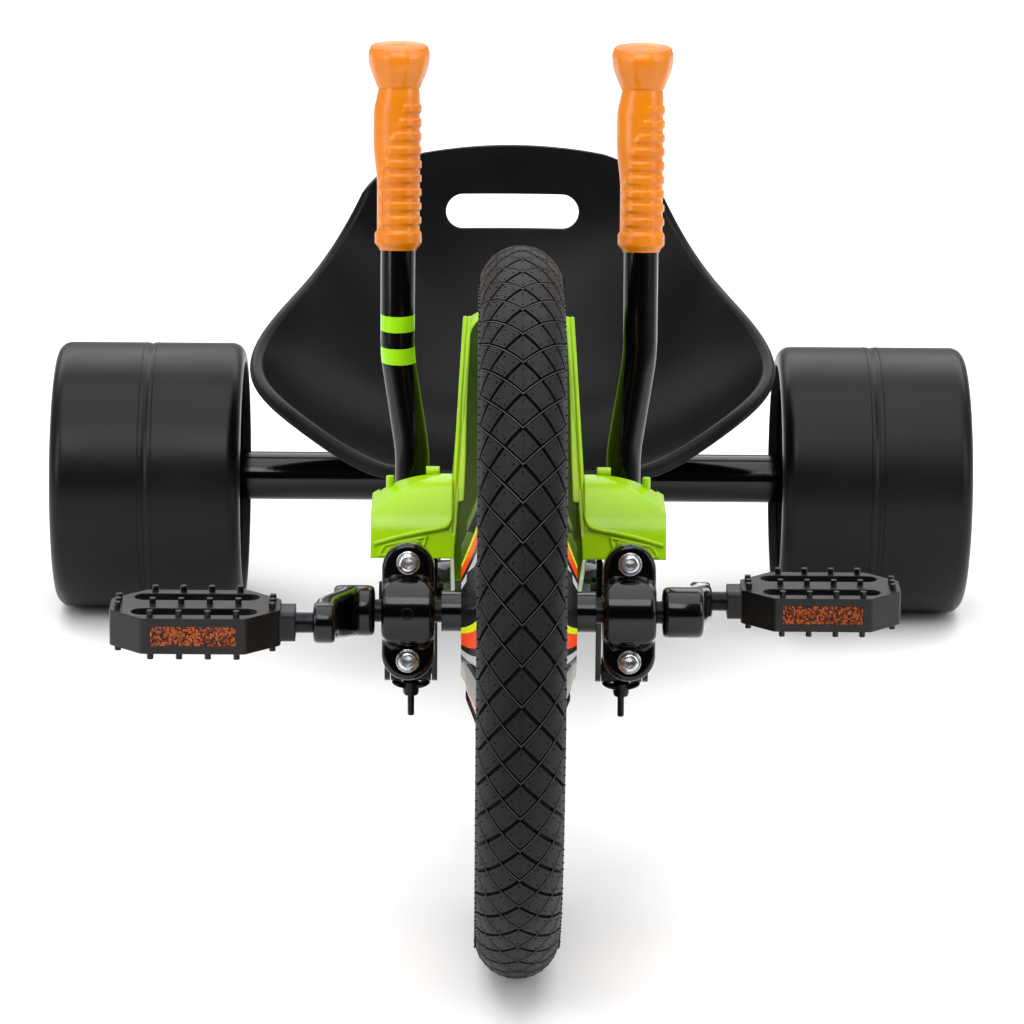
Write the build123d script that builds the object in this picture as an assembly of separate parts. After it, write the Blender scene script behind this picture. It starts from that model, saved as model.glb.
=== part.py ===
from build123d import *
import os
from math import asin, cos, radians, sin, sqrt, tan

# Lever-steered drift tricycle: a large driven front wheel, two hand levers that swing the rear axle
# through push rods, and a moulded bucket seat. X is lateral, the front faces -Y, Z is up.
# Left and right are the rider's: the left side is +X. The origin is on the floor, half way along.

# Wheels and wheelbase
FRONT_R = 258.0
FRONT_TYRE_W = 60.0
REAR_R = 118.0
REAR_W = 166.0
REAR_INNER_X = 236.5
WHEELBASE = 870.0

# Running and seating clearances
RUN_FIT = 0.05
SEAT_FIT = 0.2
SIDE_PLAY = 0.6
SWING_GAP = 5.0

# Front wheel
BEAD_HALF_W = 13.6
RIM_WALL = 4.0
RIM_WELL_DROP = 5.0
RIM_DEPTH = 12.0
DISC_T = 2.5
DISC_BULGE = 40.5
DISC_HUB_R = 46.0
DISC_MID_R = 80.0
DISC_MID_X = 27.0
DISC_EDGE_W = 12.0
BLADE_COUNT = 6
BLADE_RAISE = 3.0
BLADE_W_INNER = 26.0
BLADE_W_OUTER = 44.0
BLADE_INNER_R = 62.0
BLADE_OUTER_R = 150.0
HUB_R = 14.5
HUB_FLANGE_R = DISC_HUB_R - 6.0
HUB_FLANGE_T = 5.0
SPINDLE_R = 8.0

# Front axle clamps
CLAMP_X = 78.0
CLAMP_W = 37.0
CLAMP_H = 97.0
CLAMP_CAP_T = 10.0
CLAMP_BASE_T = 13.0
CLAMP_BOSS_R = 27.0
CLAMP_SPLIT = 0.6
CLAMP_BOLT_PITCH = 69.0
CLAMP_BOLT_R = 4.0
CLAMP_HEAD_R = 7.5
CLAMP_HEAD_T = 6.0
BEARING_R = 20.0
BEARING_W = 15.0

# Cranks and pedals
CRANK_L = 114.0
CRANK_ANGLE = 12.7
CRANK_BOSS_R = 18.0
CRANK_BOSS_W = 29.0
CRANK_EYE_R = 14.0
CRANK_EYE_W = 15.0
CRANK_EYE_X = 126.0
CRANK_ARM_T = 15.0
PEDAL_INNER_X = 163.0
PEDAL_W = 116.0
PEDAL_DEPTH = 68.0
PEDAL_T = 25.0
PEDAL_FACE_W = 70.0
PEDAL_END_DEPTH = 26.0
PEDAL_BAR = 19.0
PEDAL_RAIL = 9.0
PEDAL_SPINDLE_R = 7.0
PEDAL_NECK_L = 10.0
PEDAL_NECK_W = 26.0
PEDAL_NECK_H = 21.0
PEDAL_POCKET_DEPTH = 5.0
PEDAL_POCKET_W = 17.0
PEDAL_POCKET_H = 15.0
PEDAL_PIN_R = 2.2
PEDAL_PIN_H = 4.5
PEDAL_PIN_ROOT = 2.0
REFLECTOR_W = 58.0
REFLECTOR_H = 13.5
REFLECTOR_T = 3.0

# Frame tubes
FORK_TUBE_R = 14.3
FORK_DROP = 12.2
FORK_BEND_R = 55.0
FORK_TYRE_GAP = 38.0
FORK_START = 30.0
SPINE_R = 19.0
SPINE_END_Z = REAR_R

# Steering levers
LEVER_BACK = 150.0
LEVER_FOOT = 58.0
LEVER_LEAN = 10.0
LEVER_TUBE_R = 12.7
LEVER_SPREAD = 11.0
LEVER_BEND_LOW_SHARE = 0.27
LEVER_BEND_HIGH_SHARE = 0.62
LEVER_BEND_EASE = 1.7
LEVER_TOP = 622.0
PIVOT_R = 5.0
PIVOT_HEAD_R = 9.0
PIVOT_HEAD_T = 4.0
YOKE_PLATE_T = 4.0
YOKE_PIVOT_R = 13.0
YOKE_FOOT_R = 9.0
YOKE_BRIDGE_UP = 33.0
YOKE_BRIDGE_H = 18.0
YOKE_BRIDGE_DEPTH = 30.0
GRIP_LENGTH = 147.0
GRIP_R = 16.0
GRIP_RIB = 1.6
GRIP_RIB_COUNT = 9
GRIP_RIB_PITCH = 10.0
GRIP_COLLAR_H = 14.0
GRIP_CAP_R = 22.5
GRIP_CAP_H = 29.0
GRIP_CAP_EDGE = 6.0
GRIP_TOP_WALL = 14.0

# Push rods between the levers and the rear axle
ROD_R = 4.5
ROD_EYE_R = 9.0
ROD_EYE_PIN_R = 4.0
ROD_LUG_X = 46.0
ROD_LUG_SLACK = 1.7
ROD_END_R = 4.0
ROD_END_HOLE_R = 6.2
ROD_END_RISE = 33.0
ROD_END_DROP = 23.0
LUG_R = 11.0
LUG_H = 6.0
STUD_R = 2.5
STUD_LENGTH = 27.0
WING_SPAN = 28.0
WING_H = 11.0
WING_T = 4.0
WING_HUB_R = 6.0

# Rear axle and its king pin
BEAM_R = 21.5
BEAM_INSET = 26.0
SLEEVE_R = 17.0
SLEEVE_H = 64.0
KING_PIN_R = 8.0
CLEVIS_HALF_W = 28.0
CLEVIS_T = 7.0
CLEVIS_NOSE = 24.0
CLEVIS_WEB_BACK = 46.0
CLEVIS_WEB_T = 10.0
KING_HEAD_R = 13.0
KING_HEAD_T = 7.0
STUB_R = 8.0
STUB_SHOULDER = 30.0
STUB_END_INSET = 16.0
AXLE_NUT_R = 14.0
AXLE_NUT_T = 10.0

# Rear wheels
REAR_WALL = 8.0
REAR_EDGE_R = 12.0
REAR_LIP = 4.0
REAR_WEB_T = 8.0
REAR_WEB_X = 96.0
REAR_HUB_R = 26.0
REAR_HUB_OUTSET = 38.0
REAR_RIB_T = 6.0
REAR_RIB_COUNT = 6
REAR_RIB_DROP = 14.0
REAR_RIB_SLOPE = 24.0
SEAM_DEPTH = 1.0
SEAM_W = 5.0

# Plastic shroud behind the front wheel
SHROUD_T = 3.0
GUARD_GAP = 16.0
GUARD_TOP_ANGLE = 36.7
GUARD_LOW_ANGLE = 12.0
GUARD_TOP_HALF = 38.0
GUARD_MID_HALF = 49.0
GUARD_MID_Z = FRONT_R + 25.0
GUARD_CORNER_R = 16.0
CHEEK_TOP = 214.0
CHEEK_MID = 100.0
CHEEK_LOW = 225.0
CHEEK_MID_Z = FRONT_R + 66.0
GUARD_BOSS_X = 14.0
GUARD_BOSS_R = 8.0
HOOD_INNER_X = 47.5
HOOD_OUTER_X = 106.0
HOOD_FRONT = 60.0
HOOD_FRONT_Z = FRONT_R + 21.0
HOOD_FACE_TOP = 66.0
HOOD_FACE_Z = FRONT_R + 37.0
HOOD_BROW = 82.0
HOOD_BROW_Z = FRONT_R + 59.0
HOOD_CREST = 112.0
HOOD_CREST_Z = FRONT_R + 70.0
HOOD_MID_Z = FRONT_R + 66.5
HOOD_OUTER_Z = FRONT_R + 51.0
HOOD_SHELF = 138.0
HOOD_SHELF_Z = FRONT_R + 36.0
HOOD_BRIDGE = 225.0
HOOD_BRIDGE_Z = FRONT_R + 18.0
HOOD_BACK = 268.0
HOOD_BACK_DROP = 8.0
HOOD_SKIRT_Z = FRONT_R - 34.0

# Bucket seat: sections in planes that fan out about a lateral line above the seat
SEAT_FAN_AHEAD = 140.0
SEAT_FAN_RISE = 289.8
SEAT_HALF_W = 214.0
SEAT_REACH = 272.0
SEAT_WALL = 5.0
SEAT_BEAD_R = 6.5
SEAT_BEAD_RUN = 14.0
SEAT_TOP_DROP = 14.0
SEAT_TOP_HALF = 80.0
SEAT_TOP_SAG = 6.0
SEAT_CORNER_X = 116.0
SEAT_CORNER_DROP = 37.0
SEAT_SHOULDER_X = 141.0
SEAT_SHOULDER_DROP = 65.0
SLOT_W = 118.0
SLOT_H = 30.0
SLOT_DROP = 71.0
SEAT_BRACKET_L = 120.0
SEAT_BRACKET_W = 76.0
SEAT_BRACKET_T = 5.0

# angle of each seat section's plane, then its half width as a share of SEAT_HALF_W, the distances of its
# edge and its centre as shares of SEAT_REACH, and its wall as a share of SEAT_WALL
SEAT_SECTIONS = (
    (-128.0, 0.430, 0.978, 1.000, 2.0),
    (-120.0, 0.724, 0.831, 0.974, 1.0),
    (-108.0, 0.919, 0.688, 0.949, 1.0),
    (-88.0, 1.000, 0.592, 0.919, 1.0),
    (-66.0, 0.928, 0.563, 0.875, 1.0),
    (-42.0, 0.787, 0.632, 0.801, 1.0),
    (-18.0, 0.602, 0.695, 0.750, 1.0),
    (3.0, 0.525, 0.713, 0.739, 1.6),
)

# Places that follow from the sizes above
FRONT_Y = FRONT_R - (FRONT_R + WHEELBASE + REAR_R) / 2
REAR_Y = FRONT_Y + WHEELBASE
AXLE_Z = FRONT_R
REAR_Z = REAR_R
FORK_REACH = FRONT_R + FORK_TYRE_GAP + FORK_TUBE_R
CLAMP_IN = CLAMP_X - CLAMP_W / 2
CLAMP_OUT = CLAMP_X + CLAMP_W / 2
CRANK_IN = CLAMP_OUT + SWING_GAP
TYRE_MID_R = FRONT_R - FRONT_TYRE_W / 2
BEAD_R = TYRE_MID_R - sqrt((FRONT_TYRE_W / 2) ** 2 - BEAD_HALF_W ** 2)
RIM_SEAT_R = BEAD_R - RIM_WELL_DROP
RIM_HALF_W = BEAD_HALF_W + SEAT_FIT + RIM_WALL
PEDAL_OUTER_X = PEDAL_INNER_X + PEDAL_W
PIVOT_Y = FRONT_Y + LEVER_BACK
PIVOT_Z = AXLE_Z - LEVER_BACK * tan(radians(FORK_DROP))
FOOT_Z = PIVOT_Z - LEVER_FOOT
YOKE_GAP = FORK_TUBE_R + SIDE_PLAY * 2
ROD_END_Z = REAR_Z + ROD_END_RISE
GUARD_R = FRONT_R + GUARD_GAP
REAR_OUTER_X = REAR_INNER_X + REAR_W
BEAM_END_X = REAR_INNER_X + BEAM_INSET
YOKE_TOP_Z = PIVOT_Z + YOKE_BRIDGE_UP + YOKE_BRIDGE_H
LEVER_BARE = LEVER_TOP - GRIP_LENGTH - YOKE_TOP_Z
LEVER_BEND_LOW = YOKE_TOP_Z + LEVER_BARE * LEVER_BEND_LOW_SHARE
LEVER_BEND_HIGH = YOKE_TOP_Z + LEVER_BARE * LEVER_BEND_HIGH_SHARE
LEVER_BEND_R = (LEVER_BEND_HIGH - LEVER_BEND_LOW) * LEVER_BEND_EASE
SPINE_START_Y = FRONT_Y + FORK_REACH * cos(radians(FORK_DROP))
SPINE_START_Z = AXLE_Z - FORK_REACH * sin(radians(FORK_DROP))
SPINE_END_Y = REAR_Y - CLEVIS_WEB_BACK - CLEVIS_WEB_T
SPINE_SLOPE = (SPINE_END_Z - SPINE_START_Z) / (SPINE_END_Y - SPINE_START_Y)
SEAT_FAN_Y = REAR_Y - SEAT_FAN_AHEAD
SPINE_SEAT_Z = SPINE_START_Z + SPINE_SLOPE * (SEAT_FAN_Y - SPINE_START_Y)
SEAT_FAN_Z = SPINE_SEAT_Z + SEAT_FAN_RISE
SEAT_TOP_Z = SEAT_FAN_Z - SEAT_TOP_DROP
SLOT_Z = SEAT_FAN_Z - SLOT_DROP

FORK_PLANE = Plane(
    origin=(0, FRONT_Y, AXLE_Z),
    x_dir=(1, 0, 0),
    z_dir=(0, sin(radians(FORK_DROP)), cos(radians(FORK_DROP))),
)


def bar_x(radius, x0, x1, y=0.0, z=0.0):
    """Round bar lying across, from x0 to x1."""
    return Pos((x0 + x1) / 2, y, z) * Rot(0, 90, 0) * Cylinder(radius, abs(x1 - x0))


def post(radius, z0, z1, x=0.0, y=0.0):
    """Upright round bar from z0 to z1."""
    return Pos(x, y, (z0 + z1) / 2) * Cylinder(radius, abs(z1 - z0))


def block(x0, x1, y0, y1, z0, z1):
    """Rectangular block between two corners."""
    return Pos((x0 + x1) / 2, (y0 + y1) / 2, (z0 + z1) / 2) * Box(abs(x1 - x0), abs(y1 - y0), abs(z1 - z0))


def rod_between(radius, start, end):
    """Round bar between two points."""
    line = Line(start, end)
    return sweep(Plane(line @ 0, z_dir=line % 0) * Circle(radius), path=line)


def turned(points):
    """Ring turned about the X axis from (x, radius) points."""
    return revolve(make_face(Plane.XZ * Polyline(*points, close=True)), Axis.X)


def side_slab(points, x0, x1, rounding=0.0):
    """Side outline of (y, z) points carried across from x0 to x1."""
    outline = make_face(Polyline(*points, close=True))
    if rounding:
        outline = fillet(outline.vertices(), rounding)
    return Pos(x0, 0, 0) * extrude(Plane.YZ * outline, x1 - x0)


def front_slab(points, y0, y1, rounding=0.0):
    """Front outline of (x, z) points carried back from y0 to y1."""
    outline = make_face(Polyline(*points, close=True))
    if rounding:
        outline = fillet(outline.vertices(), rounding)
    return Pos(0, y1, 0) * extrude(Plane.XZ * outline, y1 - y0)


def two_sided(shape):
    """The left piece and its mirror image on the right."""
    return {"left": shape, "right": mirror(shape, Plane.YZ)}


def at_front_axle(shape):
    return Pos(0, FRONT_Y, AXLE_Z) * shape


# Front wheel: a round-section tyre on a box rim, closed by two dished discs
def front_tyre():
    arc = ThreePointArc((-BEAD_HALF_W, BEAD_R), (0, FRONT_R), (BEAD_HALF_W, BEAD_R))
    foot = RIM_SEAT_R + SEAT_FIT
    bead = Polyline((BEAD_HALF_W, BEAD_R), (BEAD_HALF_W, foot), (-BEAD_HALF_W, foot), (-BEAD_HALF_W, BEAD_R))
    return at_front_axle(revolve(make_face(Plane.XZ * (Curve() + [arc, bead])), Axis.X))


def front_rim():
    lip = BEAD_HALF_W + SEAT_FIT
    low = RIM_SEAT_R - RIM_DEPTH
    top = BEAD_R - SEAT_FIT
    points = (
        (-RIM_HALF_W, low + RIM_WALL), (-RIM_HALF_W, top), (-lip, top), (-lip, RIM_SEAT_R),
        (lip, RIM_SEAT_R), (lip, top), (RIM_HALF_W, top), (RIM_HALF_W, low + RIM_WALL),
        (lip - RIM_WALL, low), (-lip + RIM_WALL, low),
    )
    return at_front_axle(turned(points))


def disc_points(raise_by):
    edge_r = BEAD_R - SEAT_FIT
    foot_r = edge_r - DISC_EDGE_W
    inner = RIM_HALF_W + SEAT_FIT
    return (
        (inner, edge_r), (inner + DISC_T + raise_by, edge_r), (inner + DISC_T + raise_by, foot_r),
        (DISC_MID_X + raise_by, DISC_MID_R), (DISC_BULGE + raise_by, DISC_HUB_R),
        (DISC_BULGE + raise_by, HUB_R + SEAT_FIT), (DISC_BULGE - DISC_T, HUB_R + SEAT_FIT),
        (DISC_BULGE - DISC_T, DISC_HUB_R), (DISC_MID_X - DISC_T, DISC_MID_R), (inner, foot_r),
    )


def wheel_disc():
    disc = turned(disc_points(0))
    raised = turned(disc_points(BLADE_RAISE))
    blade = make_face(Polyline(
        (-BLADE_W_INNER / 2, BLADE_INNER_R), (BLADE_W_INNER / 2, BLADE_INNER_R),
        (BLADE_W_OUTER / 2, BLADE_OUTER_R), (-BLADE_W_OUTER / 2, BLADE_OUTER_R), close=True))
    bar = extrude(Plane.YZ * blade, DISC_BULGE + BLADE_RAISE)
    for index in range(BLADE_COUNT):
        disc += raised & (Rot(index * 360 / BLADE_COUNT, 0, 0) * bar)
    return at_front_axle(disc)


def front_hub():
    half = CLAMP_IN - SWING_GAP
    face = DISC_BULGE - DISC_T - SEAT_FIT
    back = face - HUB_FLANGE_T
    bore = SPINDLE_R + RUN_FIT
    points = (
        (-half, bore), (-half, HUB_R), (-face, HUB_R), (-face, HUB_FLANGE_R), (-back, HUB_FLANGE_R),
        (-back, HUB_R), (back, HUB_R), (back, HUB_FLANGE_R), (face, HUB_FLANGE_R), (face, HUB_R),
        (half, HUB_R), (half, bore),
    )
    return at_front_axle(turned(points))


def crank_spindle():
    end = CRANK_IN + CRANK_BOSS_W - 1
    return at_front_axle(bar_x(SPINDLE_R, -end, end))


# Split clamps that hold the front bearings at the ends of the fork tubes
def clamp_outline():
    straight = CLAMP_H - CLAMP_W
    return make_face(SlotCenterToCenter(straight, CLAMP_W, rotation=90).wire())


def clamp_bolt_holes(radius):
    holes = [Pos(0, 0, up * CLAMP_BOLT_PITCH / 2) * Rot(90, 0, 0) * Cylinder(radius, 4 * CLAMP_BOSS_R)
             for up in (-1, 1)]
    return holes[0] + holes[1]


def in_fork(shape):
    """Places a shape whose Y runs back along the fork tube on the left clamp."""
    return FORK_PLANE.location * (Pos(CLAMP_X, 0, 0) * shape)


def clamp_half(front):
    thickness = CLAMP_CAP_T if front else CLAMP_BASE_T
    sign = -1 if front else 1
    plate = extrude(Plane.XZ * clamp_outline(), -sign * thickness)
    boss = bar_x(CLAMP_BOSS_R, -CLAMP_W / 2, CLAMP_W / 2)
    body = plate + boss
    if not front:
        body += Rot(90, 0, 0) * Pos(0, 0, -FORK_START / 2) * Cylinder(FORK_TUBE_R, FORK_START)
    keep = CLAMP_SPLIT / 2
    far = sign * (FORK_START if not front else 2 * CLAMP_BOSS_R)
    body &= block(-CLAMP_W, CLAMP_W, min(sign * keep, far), max(sign * keep, far), -CLAMP_H, CLAMP_H)
    body -= bar_x(BEARING_R + RUN_FIT, -CLAMP_W, CLAMP_W)
    body -= clamp_bolt_holes(CLAMP_BOLT_R + SEAT_FIT)
    return in_fork(body)


def clamp_bolts():
    front = -CLAMP_CAP_T - SEAT_FIT
    back = CLAMP_BASE_T + SEAT_FIT
    bolts = Part()
    for up in (-1, 1):
        shank = Rot(90, 0, 0) * Cylinder(CLAMP_BOLT_R, back - front)
        head = Pos(0, front - CLAMP_HEAD_T / 2, 0) * Rot(90, 0, 0) * Cylinder(CLAMP_HEAD_R, CLAMP_HEAD_T)
        nut = Pos(0, back + CLAMP_HEAD_T / 2, 0) * Rot(90, 0, 0) * Cylinder(CLAMP_HEAD_R, CLAMP_HEAD_T)
        bolts += Pos(0, 0, up * CLAMP_BOLT_PITCH / 2) * (Pos(0, (front + back) / 2, 0) * shank + head + nut)
    return in_fork(bolts)


def bearing():
    inner = SPINDLE_R + RUN_FIT
    half = BEARING_W / 2
    ring = turned(((-half, inner), (half, inner), (half, BEARING_R), (-half, BEARING_R)))
    return at_front_axle(Pos(CLAMP_X, 0, 0) * ring)


# Cranks point opposite ways; the pedals stay level
def crank():
    outer = CRANK_EYE_X + CRANK_EYE_W
    boss_out = CRANK_IN + CRANK_BOSS_W
    low = boss_out - CRANK_ARM_T - 4
    path = make_face(Polyline(
        (low, 0), (low + CRANK_ARM_T, 0), (outer, CRANK_L * 0.62), (outer, CRANK_L), (CRANK_EYE_X, CRANK_L),
        (CRANK_EYE_X, CRANK_L * 0.72), close=True))
    arm = side_slab((
        (0, -CRANK_BOSS_R), (CRANK_L, -CRANK_EYE_R), (CRANK_L, CRANK_EYE_R), (0, CRANK_BOSS_R)), 0, 2 * outer)
    arm &= Pos(0, 0, -CRANK_BOSS_R) * extrude(path, 2 * CRANK_BOSS_R)
    arm += bar_x(CRANK_BOSS_R, CRANK_IN, boss_out)
    arm += bar_x(CRANK_EYE_R, CRANK_EYE_X, outer, CRANK_L)
    arm -= bar_x(SPINDLE_R + RUN_FIT, 0, 2 * outer)
    arm -= bar_x(PEDAL_SPINDLE_R + RUN_FIT, 0, 2 * outer, CRANK_L)
    return arm


def pedal_spindle():
    tip = PEDAL_OUTER_X - PEDAL_RAIL - SWING_GAP
    return bar_x(PEDAL_SPINDLE_R, CRANK_EYE_X, tip, CRANK_L)


def pedal_outline(grow=0.0):
    mid = PEDAL_INNER_X + PEDAL_W / 2
    half = PEDAL_W / 2 + grow
    face = PEDAL_FACE_W / 2
    deep = PEDAL_DEPTH / 2 + grow
    end = PEDAL_END_DEPTH / 2
    return [(mid + sx * px, sy * py) for sx, sy, px, py in (
        (1, 1, face, deep), (1, 1, half, end), (1, -1, half, end), (1, -1, face, deep),
        (-1, -1, face, deep), (-1, -1, half, end), (-1, 1, half, end), (-1, 1, face, deep))]


def pedal_pins():
    mid = PEDAL_INNER_X + PEDAL_W / 2
    step = PEDAL_FACE_W / 3.6
    rows = [(mid + (col - 1.5) * step, row * (PEDAL_DEPTH / 2 - PEDAL_RAIL / 2))
            for row in (-1, 1) for col in range(4)]
    rows += [(mid + (col - 1.5) * step, 0.0) for col in range(4)]
    end_x = PEDAL_W / 2 - PEDAL_RAIL / 2 - 1
    rows += [(mid + side * end_x, row * PEDAL_END_DEPTH * 0.38) for side in (-1, 1) for row in (-1, 0, 1)]
    return rows


def pedal_body():
    mid = PEDAL_INNER_X + PEDAL_W / 2
    plate = extrude(make_face(Polyline(*pedal_outline(), close=True)), PEDAL_T / 2, both=True)
    plate = fillet(plate.edges().filter_by(Axis.Z), 5)
    slot_deep = (PEDAL_DEPTH - PEDAL_BAR) / 2 - PEDAL_RAIL
    slot_y = PEDAL_BAR / 2 + slot_deep / 2
    slot_w = PEDAL_FACE_W + slot_deep
    for row in (-1, 1):
        hole = extrude(SlotOverall(slot_w, slot_deep), PEDAL_T, both=True)
        plate -= Pos(mid, row * slot_y, 0) * hole
        pocket_y = row * PEDAL_DEPTH / 2
        plate -= Pos(mid, pocket_y, 0) * Box(
            REFLECTOR_W + 2 * SEAT_FIT, 2 * (REFLECTOR_T + SEAT_FIT), REFLECTOR_H + 2 * SEAT_FIT)
    neck = block(PEDAL_INNER_X - PEDAL_NECK_L, PEDAL_INNER_X + PEDAL_RAIL / 2,
                 -PEDAL_NECK_W / 2, PEDAL_NECK_W / 2, -PEDAL_NECK_H / 2, PEDAL_NECK_H / 2)
    plate += fillet(neck.edges().filter_by(Axis.X), 4)
    plate -= block(PEDAL_OUTER_X - PEDAL_POCKET_DEPTH, 2 * PEDAL_OUTER_X,
                   -PEDAL_POCKET_W / 2, PEDAL_POCKET_W / 2, -PEDAL_POCKET_H / 2, PEDAL_POCKET_H / 2)
    root = PEDAL_T / 2 - PEDAL_PIN_ROOT
    tip = PEDAL_T / 2 + PEDAL_PIN_H
    for x, y in pedal_pins():
        plate += post(PEDAL_PIN_R, root, tip, x, y)
        plate += post(PEDAL_PIN_R, -tip, -root, x, y)
    plate -= bar_x(PEDAL_SPINDLE_R + RUN_FIT, 0, PEDAL_OUTER_X - PEDAL_RAIL)
    return plate


def pedal_reflectors():
    mid = PEDAL_INNER_X + PEDAL_W / 2
    lenses = Part()
    for row in (-1, 1):
        face_y = row * (PEDAL_DEPTH / 2 - REFLECTOR_T / 2)
        lenses += Pos(mid, face_y, 0) * Box(REFLECTOR_W, REFLECTOR_T, REFLECTOR_H)
    return lenses


def crank_side(shape, side):
    if side == "left":
        return at_front_axle(Rot(-CRANK_ANGLE, 0, 0) * shape)
    return at_front_axle(Rot(180 - CRANK_ANGLE, 0, 0) * mirror(shape, Plane.YZ))


def pedal_side(shape, side):
    sign = 1 if side == "left" else -1
    angle = radians(CRANK_ANGLE)
    placed = shape if side == "left" else mirror(shape, Plane.YZ)
    return at_front_axle(Pos(0, sign * CRANK_L * cos(angle), -sign * CRANK_L * sin(angle)) * placed)


# Frame: one fork loop round the front wheel, a spine under the seat and the clevis for the rear axle
def fork_path():
    return FORK_PLANE * FilletPolyline(
        (-CLAMP_X, FORK_START), (-CLAMP_X, FORK_REACH), (CLAMP_X, FORK_REACH), (CLAMP_X, FORK_START),
        radius=FORK_BEND_R)


def fork_solid():
    path = fork_path()
    return sweep(Plane(path @ 0, z_dir=path % 0) * Circle(FORK_TUBE_R), path=path)


def fork_loop():
    return fork_solid() - bar_x(PIVOT_R + RUN_FIT, -2 * CLAMP_X, 2 * CLAMP_X, PIVOT_Y, PIVOT_Z)


def spine_ends():
    return Vector(0, SPINE_START_Y, SPINE_START_Z), Vector(0, SPINE_END_Y, SPINE_END_Z)


def frame_spine():
    start, end = spine_ends()
    tube = rod_between(SPINE_R, start, end + (end - start).normalized() * (2 * SPINE_R))
    tube -= fork_solid()
    back = end.Y - SEAT_FIT
    tube &= block(-SPINE_R, SPINE_R, start.Y, back, 0, 2 * AXLE_Z)
    return max(tube.solids(), key=lambda solid: solid.volume)


def pivot_clevis():
    half = SLEEVE_H / 2 + SIDE_PLAY
    web_front = REAR_Y - CLEVIS_WEB_BACK - CLEVIS_WEB_T
    outline = (
        (web_front, REAR_Z - half - CLEVIS_T), (REAR_Y + CLEVIS_NOSE, REAR_Z - half - CLEVIS_T),
        (REAR_Y + CLEVIS_NOSE, REAR_Z - half), (web_front + CLEVIS_WEB_T, REAR_Z - half),
        (web_front + CLEVIS_WEB_T, REAR_Z + half), (REAR_Y + CLEVIS_NOSE, REAR_Z + half),
        (REAR_Y + CLEVIS_NOSE, REAR_Z + half + CLEVIS_T), (web_front, REAR_Z + half + CLEVIS_T),
    )
    body = side_slab(outline, -CLEVIS_HALF_W, CLEVIS_HALF_W)
    plan = make_hull((Pos(0, REAR_Y) * Circle(CLEVIS_NOSE)).edges()
                     + (Pos(0, web_front + 2) * Rectangle(2 * CLEVIS_HALF_W, 4)).edges())
    body &= extrude(plan, 2 * AXLE_Z)
    return body - post(KING_PIN_R + RUN_FIT, 0, 2 * AXLE_Z, 0, REAR_Y)


def king_pin():
    top = REAR_Z + SLEEVE_H / 2 + SIDE_PLAY + CLEVIS_T + SEAT_FIT
    low = REAR_Z - SLEEVE_H / 2 - SIDE_PLAY - CLEVIS_T - SEAT_FIT
    pin = post(KING_PIN_R, low, top, 0, REAR_Y)
    pin += post(KING_HEAD_R, top, top + KING_HEAD_T, 0, REAR_Y)
    return pin + post(KING_HEAD_R, low - KING_HEAD_T, low, 0, REAR_Y)


# Rear axle: a tube with an upright sleeve in the middle and two drilled lugs for the rods
def rear_beam():
    beam = bar_x(BEAM_R, -BEAM_END_X, BEAM_END_X, REAR_Y, REAR_Z)
    beam += post(SLEEVE_R, REAR_Z - SLEEVE_H / 2, REAR_Z + SLEEVE_H / 2, 0, REAR_Y)
    for side in (-1, 1):
        beam += post(LUG_R, REAR_Z, REAR_Z + BEAM_R + LUG_H, side * ROD_LUG_X, REAR_Y)
        beam -= post(ROD_END_HOLE_R, REAR_Z, REAR_Z + 2 * BEAM_R, side * ROD_LUG_X, REAR_Y)
        socket = side * (BEAM_END_X - STUB_SHOULDER)
        beam -= bar_x(STUB_R + RUN_FIT, socket, side * 2 * BEAM_END_X, REAR_Y, REAR_Z)
    return beam - post(KING_PIN_R + RUN_FIT, 0, 2 * REAR_Z, 0, REAR_Y)


def axle_stub():
    return bar_x(STUB_R, BEAM_END_X - STUB_SHOULDER + SEAT_FIT, REAR_OUTER_X - STUB_END_INSET, REAR_Y, REAR_Z)


def axle_nut():
    hub_face = REAR_OUTER_X - REAR_HUB_OUTSET
    nut = RegularPolygon(AXLE_NUT_R, 6)
    nut = Pos(hub_face + SIDE_PLAY, REAR_Y, REAR_Z) * Rot(0, 90, 0) * extrude(nut, AXLE_NUT_T)
    return nut - bar_x(STUB_R + RUN_FIT, 0, 2 * REAR_OUTER_X, REAR_Y, REAR_Z)


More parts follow.
